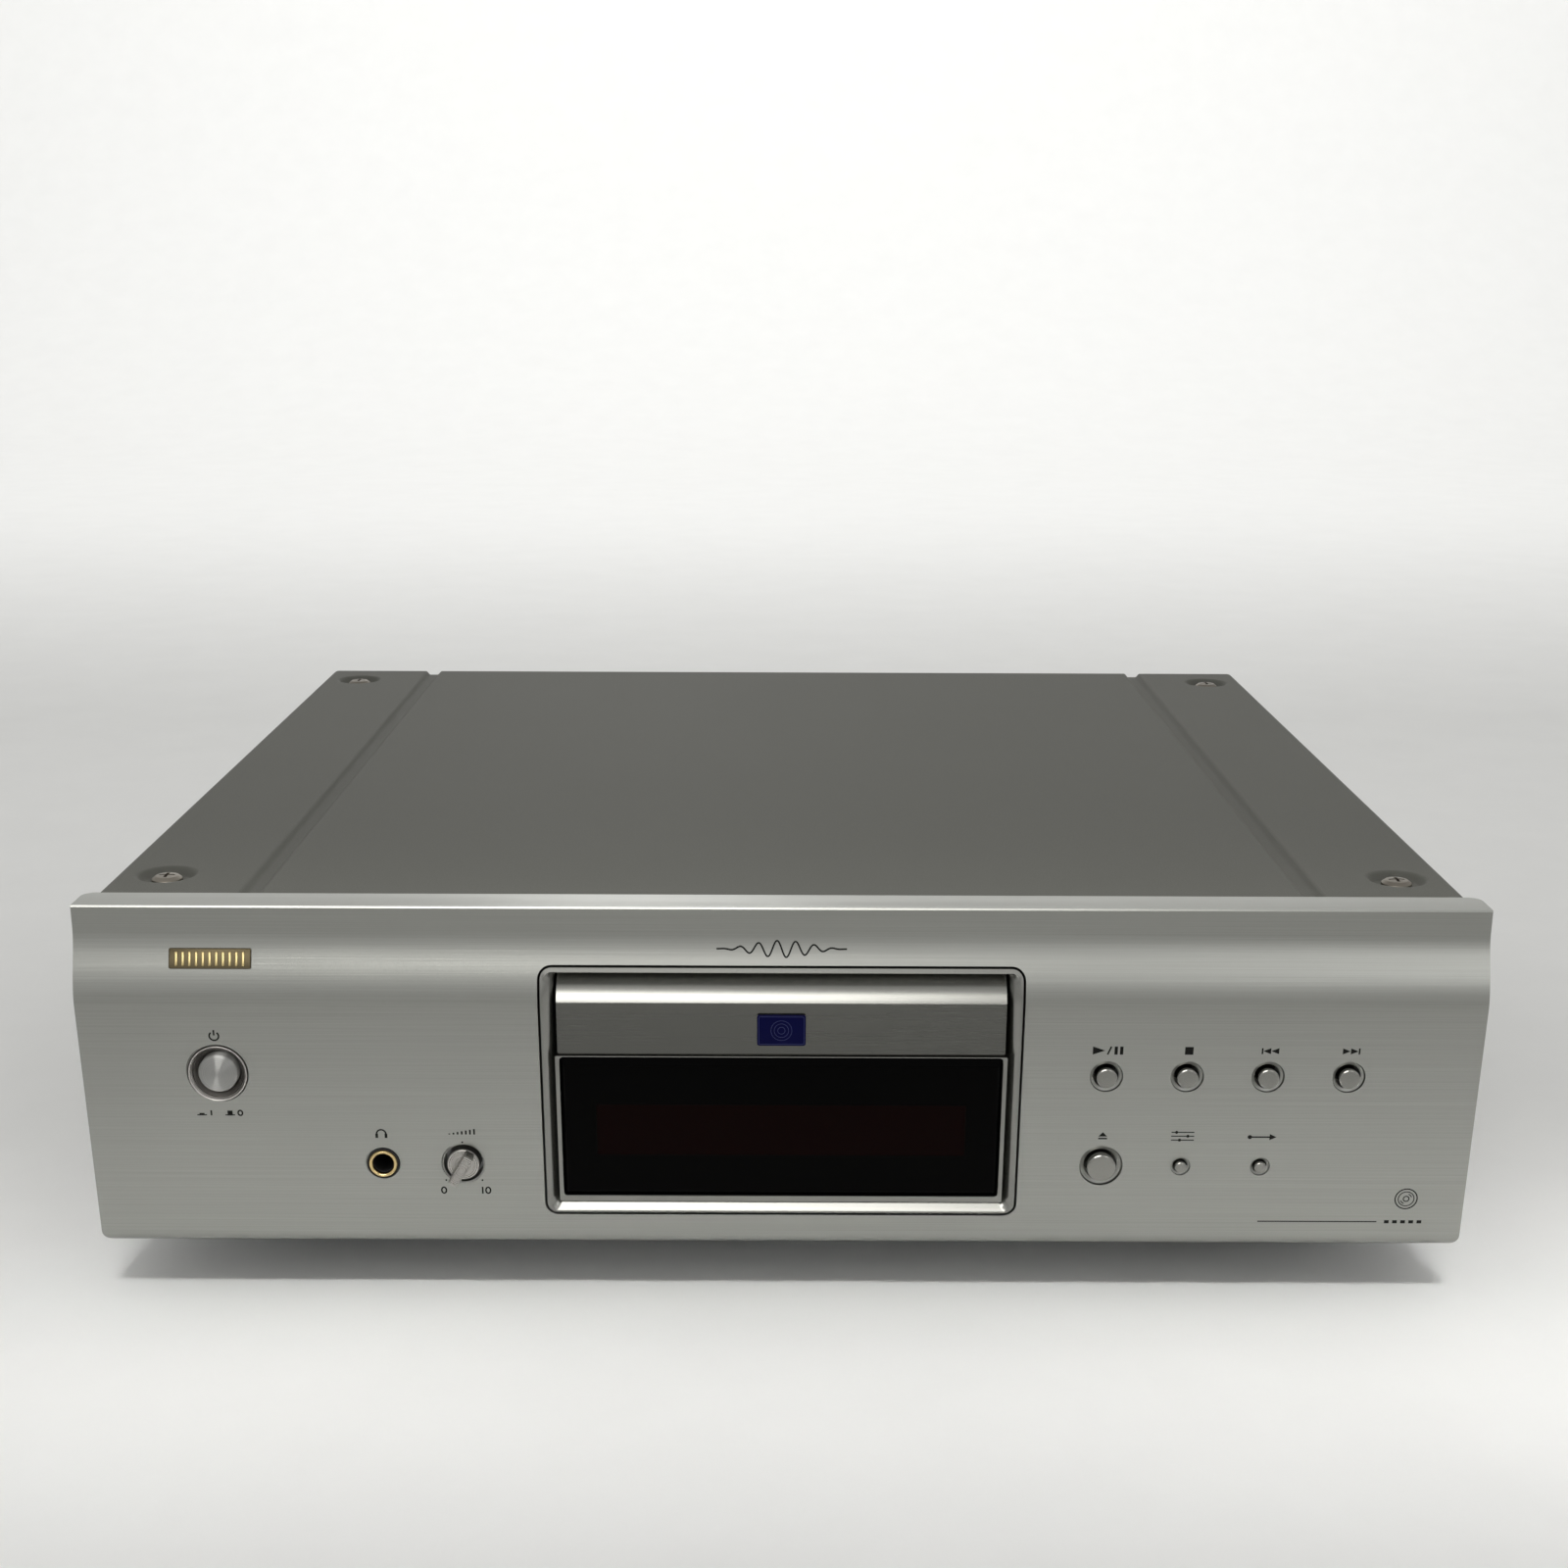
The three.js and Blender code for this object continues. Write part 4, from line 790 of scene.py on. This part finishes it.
def rear_sockets():
    """Phono sockets: a plated sleeve with a round flange, about a plastic insulator."""
    for node, plating, slot in (
        ("analog_jack_left", NICKEL, "steel_sheet"),
        ("analog_jack_right", NICKEL, "steel_sheet"),
        ("coaxial_jack", GOLD, "gold"),
    ):
        low, high = box_mm(node)
        x, _, z = middle(node)
        shank = 16.0  # length of the part behind the rear panel
        place = (x, -(low.y + shank), z)
        reach = high.y - (low.y + shank)
        sleeve = rounded_profile(
            [
                (0, -shank), (5, -shank), (5, 0.05), (6.3, 0.05), (6.3, 2.0), (4.2, 2.0), (4.2, reach),
                (3.4, reach), (3.4, 0.6), (0, 0.6),
            ],
            0.15,
        )
        make_piece(f"{node}_sleeve", rearward(lathe(sleeve, place)), plating, [node], 30)
        short = reach - 1.2
        core = [(0, 0.4), (3.3, 0.4), (3.3, short), (1.6, short), (1.6, 1.0), (0, 1.0)]
        insulator = rearward(lathe(rounded_profile(core, 0.15), place))
        make_piece(f"{node}_insulator", insulator, WHITE_PLASTIC)


def power_control():
    """A nearly flush turned cap at the bottom of a dished ring."""
    x, y, z = control_centre("power_ring")
    ring = rounded_profile(
        [
            (6.5, -3.3), (6.5, -8.4), (9.2, -8.4), (9.2, 0.05), (9.0, 0.3), (8.7, 0.2), (8.2, -0.5),
            (6.5, -3.3),
        ],
        0.2,
    )
    ring = lathe(ring[:-1], (x, y, z), 96)  # the last point is the first one again
    finish = spun("spun_power_ring", (0.43, 0.412, 0.395), 0.3, (x, z), 0.3)
    make_piece("power_ring_face", ring, finish, ["power_ring"], 25)
    behind = y - (WALL_BACK + PLAY)
    cap = rounded_profile(
        [
            (0, behind - FLANGE), (8.2, behind - FLANGE), (8.2, behind), (6.15, behind), (6.15, -0.5),
            (5.6, -0.05), (5.2, 0.08), (3.4, 0.36), (1.7, 0.52), (0, 0.58),
        ],
        0.3,
    )
    finish = spun("spun_power", (0.36, 0.36, 0.35), 0.38, (x, z), 0.3, 1.0e-5, Anisotropic=1.0)
    cap = lathe(cap, (x, y, z), 96)
    make_piece("power_cap", cap, finish, ["power_button"], 30, "power")


def headphone_socket():
    """A deep plastic socket with a gold ring round its mouth."""
    place = control_centre("headphone_jack")
    bore, depth, rear = 3.25, 27.5, 30.9
    collar = rounded_profile(
        [
            (0, -rear), (7.5, -rear), (7.5, -7.2), (5.05, -7.2), (5.05, 0.0), (4.75, 0.1), (4.7, -1.2),
            (bore, -1.2), (bore, -depth), (0, -depth),
        ],
        0.12,
    )
    socket = lathe(collar, place)
    make_piece("headphone_collar", socket, BLACK_PLASTIC, ["headphone_jack"], 30)
    ring = rounded_profile(
        [
            (bore, -0.9), (4.5, -0.9), (4.5, 0.2), (4.2, 0.6), (3.8, 0.62), (3.45, 0.4), (bore, 0.0),
            (bore, -0.9),
        ],
        0.15,
    )
    make_piece("headphone_ring", lathe(ring[1:], place), GOLD, ["headphone_jack_ring"], 30)


def level_knob():
    """A disc with a pointer blade across it, turned to its place at rest."""
    x, y, z = control_centre("level_knob")
    turn = Matrix.Rotation(math.radians(30), 4, "Y")
    rear = y - (WALL_BACK + 0.2)
    disc = rounded_profile(
        [(0, rear + 5), (3.2, rear + 5), (3.2, rear), (5.2, rear), (5.2, 0.35), (4.85, 0.8), (0, 0.8)], 0.2
    )
    outline = [(-1.6, -6.2), (1.6, -6.2), (1.6, 5.0), (-1.6, 5.0)]
    narrow = [(-1.2, -5.8), (1.2, -5.8), (1.2, 4.6), (-1.2, 4.6)]
    tapered = [(u, v * 0.995) for u, v in outline]
    blade = loft([at_y(outline, -0.6), at_y(tapered, -5.2), at_y(narrow, -5.75)])
    bmesh.ops.recalc_face_normals(blade, faces=blade.faces)
    sharp = [e for e in blade.edges if e.calc_face_angle(0) > 0.5]
    bmesh.ops.bevel(blade, geom=sharp, offset=0.3, segments=3, affect="EDGES")
    pointer_groove = block(-0.22, 0.22, -6.2, -5.55, -5.0, -2.2)
    bm = boolean(lathe(disc, (0, 0, 0)), [blade], "UNION")
    bm = boolean(bm, [pointer_groove])
    bmesh.ops.transform(bm, matrix=Matrix.Translation((x, y, z)) @ turn, verts=bm.verts)
    finish = spun("spun_knob", (0.36, 0.35, 0.33), 0.3, (x, z), 0.3, Anisotropic=0.3)
    make_piece("knob_with_blade", bm, finish, ["level_knob"], 30, "level_knob")


# -------- printed legends
STROKE = 0.5  # width of the fine printed lines


class Ink:
    """One legend: thin printed marks that follow the panel's face, drawn about a point (x, z) of it."""

    def __init__(self, name, x, z):
        self.name, self.x, self.z = f"legend_{name}", x, z
        self.bm = bmesh.new()

    def prism(self, points):
        spots = [(self.x + x, self.z + z) for x, z in points]
        front = [self.bm.verts.new((x, face_y(z) - 0.035, z)) for x, z in spots]
        back = [self.bm.verts.new((x, face_y(z) + 0.1, z)) for x, z in spots]
        count = len(spots)
        self.bm.faces.new(front)
        self.bm.faces.new(back[::-1])
        for i in range(count):
            j = (i + 1) % count
            self.bm.faces.new((front[j], front[i], back[i], back[j]))

    def bar(self, x0, x1, z0, z1):
        """A filled rectangle, in rows so that it follows the face's curve."""
        rows = max(1, round((z1 - z0) / 1.2))
        for i in range(rows):
            low = z0 + (z1 - z0) * i / rows
            high = z0 + (z1 - z0) * (i + 1) / rows
            self.prism([(x0, low), (x1, low), (x1, high), (x0, high)])

    def stroke(self, x, z0, z1):
        """An upright line from x to the right."""
        self.bar(x, x + STROKE, z0, z1)

    def line(self, points, width, closed=False):
        """A line of even width through points, built as short joined blocks."""
        spots = [Vector(p) for p in points]
        run = [spots[-1], *spots, spots[0], spots[1]] if closed else [spots[0], *spots, spots[-1]]
        sides = []
        for before, here, after in zip(run, run[1:], run[2:]):
            along = (after - before).normalized()
            across = Vector((-along.y, along.x)) * width / 2
            sides.append((tuple(here + across), tuple(here - across)))
        for (left, right), (next_left, next_right) in zip(sides, sides[1:]):
            self.prism([left, right, next_right, next_left])

    def arc(self, cx, cz, radius, start, end, width, steps=20):
        self.line(arc_points(cx, cz, radius, start, end, steps), width)

    def circle(self, cx, cz, radius, width, squash=1.0):
        self.line(circle_points(cx, cz, radius, 28, squash), width, closed=True)

    def dot(self, cx, cz, radius):
        self.prism(circle_points(cx, cz, radius, 14))

    def triangle(self, base, tip, z, height):
        """A triangle that points along x, from its base to its tip."""
        points = [(base, z - height / 2), (tip, z), (base, z + height / 2)]
        self.prism(points if tip > base else points[::-1])

    def finish(self):
        make_piece(self.name, self.bm, INK)


def legend(name, node):
    """A legend drawn about a control's axis."""
    x, _, z = control_centre(node)
    return Ink(name, x, z)


def power_legends():
    ink = legend("power", "power_ring")
    top, low = 12.8, -13.9
    ink.arc(0, top, 1.45, 130, 410, STROKE)
    ink.bar(-STROKE / 2, STROKE / 2, top + 0.2, top + 2.0)
    ink.bar(-7.6, -4.6, low - 0.35, low)
    ink.bar(-6.9, -5.3, low, low + 0.45)
    ink.stroke(-3.4, low - 0.35, low + 1.4)
    ink.bar(1.2, 4.2, low - 0.35, low)
    ink.bar(1.9, 3.5, low, low + 1.3)
    ink.circle(5.9, low + 0.52, 0.85, STROKE, 0.8)
    ink.finish()


def headphone_legend():
    ink = legend("headphones", "headphone_jack")
    top, radius = 10.4, 1.45
    ink.arc(0, top, radius, 0, 180, STROKE)
    for ear in (-radius, radius):
        ink.bar(ear - 0.42, ear + 0.42, top - 1.4, top + 0.1)
    ink.finish()


def level_legends():
    ink = legend("level", "level_knob")
    top, low, dots = 10.3, -9.3, 8.1
    for i in range(7):
        left = i * 1.3 - 4.2
        ink.bar(left, left + 0.55, top, top + 0.35 + 0.26 * i)
    ink.dot(0, 7.6, 0.3)
    for degrees in (225, 315):
        angle = math.radians(degrees)
        ink.dot(dots * math.cos(angle), dots * math.sin(angle), 0.3)
    ink.circle(-6.6, low, 1.05, STROKE, 0.7)
    ink.stroke(5.4, low - 1.2, low + 1.2)
    ink.circle(7.4, low, 1.05, STROKE, 0.7)
    ink.finish()


def transport_legends():
    row = 9.0
    ink = legend("play", "play_button")
    ink.triangle(-4.7, -0.9, row, 2.7)
    ink.line([(-0.1, row - 1.35), (1.0, row + 1.35)], STROKE)
    for left in (2.0, 3.7):
        ink.bar(left, left + 1.0, row - 1.35, row + 1.35)
    ink.finish()

    ink = legend("stop", "stop_button")
    ink.bar(-1.3, 1.3, row - 1.3, row + 1.3)
    ink.finish()

    for name, way in (("previous", -1), ("next", 1)):
        ink = legend(name, f"{name}_button")
        for base in (-2.7, -0.2):
            ink.triangle(way * base, way * (base + 2.4), row, 2.0)
        ink.stroke(way * (2.2 + STROKE / 2) - STROKE / 2, row - 1.0, row + 1.0)
        ink.finish()

    ink = legend("eject", "eject_button")
    row = 10.6
    ink.prism([(-1.4, row - 0.2), (1.4, row - 0.2), (0, row + 1.3)])
    ink.bar(-1.4, 1.4, row - 1.15, row - 0.65)
    ink.finish()


def small_button_legends():
    ink = legend("setup", "setup_button")
    for level, knob in ((9.25, -0.9), (10.6, 1.62), (11.95, -1.98)):
        ink.bar(-3.6, 3.6, level - 0.17, level + 0.17)
        ink.dot(knob, level, 0.5)
    ink.finish()

    ink = legend("direct", "direct_button")
    row = 10.4
    ink.dot(-4.0, row, 0.7)
    ink.bar(-3.7, 2.4, row - STROKE / 2, row + STROKE / 2)
    ink.triangle(2.2, 4.4, row, 2.1)
    ink.finish()


def wave_mark():
    """A wave above the tray that swells and fades, in place of a printed word."""
    ink = Ink("wave", 0, PANEL_BOTTOM + 100.2)
    half_length, swing, waves, steps = 20, 2.5, 7, 120
    points = []
    for i in range(steps + 1):
        u = i / steps
        swell = math.sin(math.pi * u) ** 2
        wave = math.sin(u * waves * 2 * math.pi)
        points.append((half_length * (2 * u - 1), swing * swell * wave))
    ink.line(points, STROKE)
    ink.finish()


def disc_mark():
    """A disc symbol, a line and a row of dashes at the panel's lower right."""
    ink = Ink("disc", 198.6, PANEL_BOTTOM + 17.6)
    for radius, width in ((3.5, 0.4), (2.5, 0.3), (0.9, 0.35)):
        ink.circle(0, 0, radius, width)
    for start in (20, 200):
        ink.arc(0, 0, 1.75, start, start + 50, 0.3, 8)
    low = -8.2
    ink.bar(-46.6, -8.6, low - 0.18, low + 0.18)
    for i in range(5):
        left = i * 2.6 - 6.2
        ink.bar(left, left + 1.5, low - 0.55, low + 0.55)
    ink.finish()


# -------- cover
GROOVE_X, GROOVE_HALF, GROOVE_DEPTH = 166.5, 3.6, 1.7
SCREW_X = 198.0
DIMPLE_RADIUS, DIMPLE_SLOPE, DIMPLE_DEPTH = 9.9, 2.9, 2.4
SHEET = 1.2


def corner_nodes(name):
    return [f"{name}_{end}_{side}" for end in ("front", "rear") for side in ("left", "right")]


def cover_dip(x, y, screws):
    """How far the pressed grooves and dimples sink the cover's top at a point."""
    dip = smoothstep((GROOVE_HALF - abs(abs(x) - GROOVE_X)) / (GROOVE_HALF * 0.5)) * GROOVE_DEPTH
    for screw_x, screw_y in screws:
        distance = math.hypot(x - screw_x, y - screw_y)
        dip = max(dip, DIMPLE_DEPTH * smoothstep((DIMPLE_RADIUS - distance) / DIMPLE_SLOPE))
    return dip


def fine_steps(start, end, spots, fine, coarse):
    """Positions from start to end, close together within `spots` (centre, reach)."""
    steps, here = [start], start
    while here < end - 1e-6:
        near = any(abs(here - centre) < reach + fine for centre, reach in spots)
        gap = fine if near else coarse
        for centre, reach in spots:
            edge = centre - reach
            if here < edge < here + gap:
                gap = max(edge - here, fine)
        here = min(here + gap, end)
        steps.append(here)
    return steps


def top_cover():
    """The folded sheet, with pressed grooves and screw dimples."""
    screws = [middle(node)[:2] for node in corner_nodes("cover_screw")]
    half, bend, bottom, shoulder = COVER_HIGH.x, 3.2, COVER_LOW.z, COVER_TOP - 40
    flat = half - bend
    fine, coarse, dimple_reach, groove_reach = 0.6, 12.0, DIMPLE_RADIUS + 0.5, GROOVE_HALF + 0.6
    spots = [(x, groove_reach) for x in (-GROOVE_X, GROOVE_X)]
    spots += [(x, dimple_reach) for x in (-SCREW_X, SCREW_X)]
    across = fine_steps(-flat, flat, spots, fine, coarse)
    spots = [(y, dimple_reach) for y in {y for _, y in screws}]
    along = fine_steps(COVER_LOW.y, COVER_HIGH.y, spots, fine, coarse)
    side = [(-half, bottom), (-half, shoulder)] + arc_points(-flat, COVER_TOP - bend, bend, 180, 90, 6)
    bm = bmesh.new()
    rows = []
    for y in along:
        top = [(x, COVER_TOP - cover_dip(x, y, screws)) for x in across[1:-1]]
        section = side + top + [(-x, z) for x, z in reversed(side)]
        rows.append([bm.verts.new((x, y, z)) for x, z in section])
    for a, b in zip(rows, rows[1:]):
        for i in range(len(a) - 1):
            bm.faces.new((a[i], a[i + 1], b[i + 1], b[i]))
    piece = make_piece("cover_sheet", bm, COVER_PAINT, ["top_cover"], 40)
    thicken = piece.modifiers.new("sheet", "SOLIDIFY")
    thicken.thickness = SHEET * MM
    thicken.offset = -1.0


def cover_screws():
    """Pan-head screws with a cross recess."""
    arm, reach, depth, head = 0.5, 2.6, 1.3, 2.1
    for node in corner_nodes("cover_screw"):
        low, high = box_mm(node)
        x, y, _ = middle(node)
        seat, top = high.z - head, high.z
        tip = low.z - seat
        profile = rounded_profile(
            [(0, tip), (1.9, tip + 1), (1.9, 0), (4.9, 0), (4.9, 0.8), (3.6, 1.75), (0, head)], 0.25
        )
        cross = [
            block(x - reach, x + reach, y - arm, y + arm, top - depth, top + 1),
            block(x - arm, x + arm, y - reach, y + reach, top - depth, top + 1),
        ]
        bm = boolean(lathe(profile, (x, y, seat), 48, "z"), cross)
        make_piece(f"{node}_head", bm, SCREW_METAL, [node], 30)


# -------- feet
def feet():
    """Round rubber feet with a ring groove."""
    profile = rounded_profile(
        [
            (0, 0), (20.5, 0), (22, 0.8), (22, 3), (24, 3), (25, 4), (25, 8.2), (24.6, 8.5), (24.6, 9.1),
            (25, 9.4), (25, 14.5), (22.5, 18), (0, 18),
        ],
        0.4,
    )
    for node in corner_nodes("foot"):
        low, _ = box_mm(node)
        x, y, _ = middle(node)
        make_piece(f"{node}_pad", lathe(profile, (x, y, low.z), 96, "z"), RUBBER, [node], 30)


# -------- camera, light and floor
def make_camera():
    """The camera that was fitted to the photo."""
    data = bpy.data.cameras.new("camera")
    data.lens = 49.82
    data.sensor_width = 36.0
    data.shift_y = 0.094
    data.clip_start, data.clip_end = 0.01, 50
    camera = scene_object("camera", data)
    pitch, yaw, roll = math.radians(17.434), math.radians(0.048), math.radians(-0.225)
    place = Vector((0.15, FACE_Y - 633.3, PANEL_BOTTOM + 304.4)) * MM
    camera.matrix_world = (
        Matrix.Translation(place)
        @ Matrix.Rotation(-yaw, 4, "Z")
        @ Matrix.Rotation(math.pi / 2 - pitch, 4, "X")
        @ Matrix.Rotation(-roll, 4, "Z")
    )
    bpy.context.scene.camera = camera


def area_light(name, place, target, width, height, power, colour=(1, 1, 1)):
    data = bpy.data.lights.new(name, "AREA")
    data.shape = "RECTANGLE"
    data.size, data.size_y = width, height
    data.energy = power
    data.color = colour
    light = scene_object(name, data)
    light.location = place
    light.rotation_euler = (Vector(target) - Vector(place)).to_track_quat("-Z", "Y").to_euler()
    return light


def make_lights():
    """A white room, brightest a little above the horizon, with soft windows in front."""
    world = bpy.data.worlds.new("studio")
    world.use_nodes = True
    direction = add_node(world, "TexCoord").outputs["Generated"]
    height = add_node(world, "SeparateXYZ", Vector=direction).outputs["Z"]
    ramp = add_node(world, "ValToRGB", Fac=height)
    low, high = ramp.color_ramp.elements
    low.position, high.position = 0.1, 0.65
    low.color, high.color = (0.66, 0.66, 0.65, 1.0), (0.6, 0.6, 0.59, 1.0)
    crest = ramp.color_ramp.elements.new(0.28)
    crest.color = (0.78, 0.78, 0.77, 1.0)
    background = world.node_tree.nodes["Background"]
    feed(world, background.inputs["Color"], ramp.outputs[0])
    feed(world, background.inputs["Strength"], 1.0)
    bpy.context.scene.world = world
    bpy.context.scene.view_settings.view_transform = "Standard"
    # The windows are only seen in reflections; the key light does the lighting.
    window = area_light("window", (-0.33, -1.55, 1.15), (0, -0.2, 0.1), 1.0, 0.6, 12.0, (1.0, 0.99, 0.96))
    side = area_light("side_window", (0.8, -1.6, 0.75), (0, -0.2, 0.1), 0.5, 0.5, 1.4)
    window.visible_diffuse = False
    side.visible_diffuse = False
    warm = (1.0, 0.99, 0.97)
    key = area_light("key", (0, 0.0, 1.15), (0, 0.0, 0), 0.6, 0.6, 1.7, warm)
    key.visible_glossy = False
    front_key = area_light("front_key", (0.16, -0.7, 1.0), (0.16, -0.23, 0), 0.9, 0.1, 0.31, warm)
    front_key.data.spread = math.radians(18)
    front_key.visible_glossy = False
    area_light("rear_spot", (-0.22, 2.0, 0.9), (-0.05, -0.2, 0.13), 0.3, 0.35, 0.6)
    area_light("backdrop_light", (0, 1.3, 2.4), (0, 5.0, 1.5), 4.0, 1.0, 75.0)


def make_floor():
    """A floor that curves up into a backdrop far behind the object."""
    half, near, far, radius, wall = 6.0, -9.0, 2.6, 1.4, 5.0  # metres
    profile = [(near, 0.0), *arc_points(far, radius, radius, -90, 0, 16), (far + radius, wall)]
    bm = bmesh.new()
    left = [bm.verts.new((-half, y, z)) for y, z in profile]
    right = [bm.verts.new((half, y, z)) for y, z in profile]
    for i in range(len(profile) - 1):
        face = bm.faces.new((left[i], right[i], right[i + 1], left[i + 1]))
        face.smooth = True
    floor = mesh_object("floor", bm)
    floor.data.materials.append(moulded("floor_paint", (0.78, 0.78, 0.77), 0.75, 2.0, 1e-5, 0.015))


# -------- build
make_camera()
make_lights()
make_floor()
finish_cad_nodes()
front_panel()
bezel()
window_frame()
display_window()
tray_door()
disc_tray()
emblem()
badge()
push_buttons()
rear_sockets()
power_control()
headphone_socket()
level_knob()
power_legends()
headphone_legend()
level_legends()
transport_legends()
small_button_legends()
wave_mark()
disc_mark()
top_cover()
cover_screws()
feet()
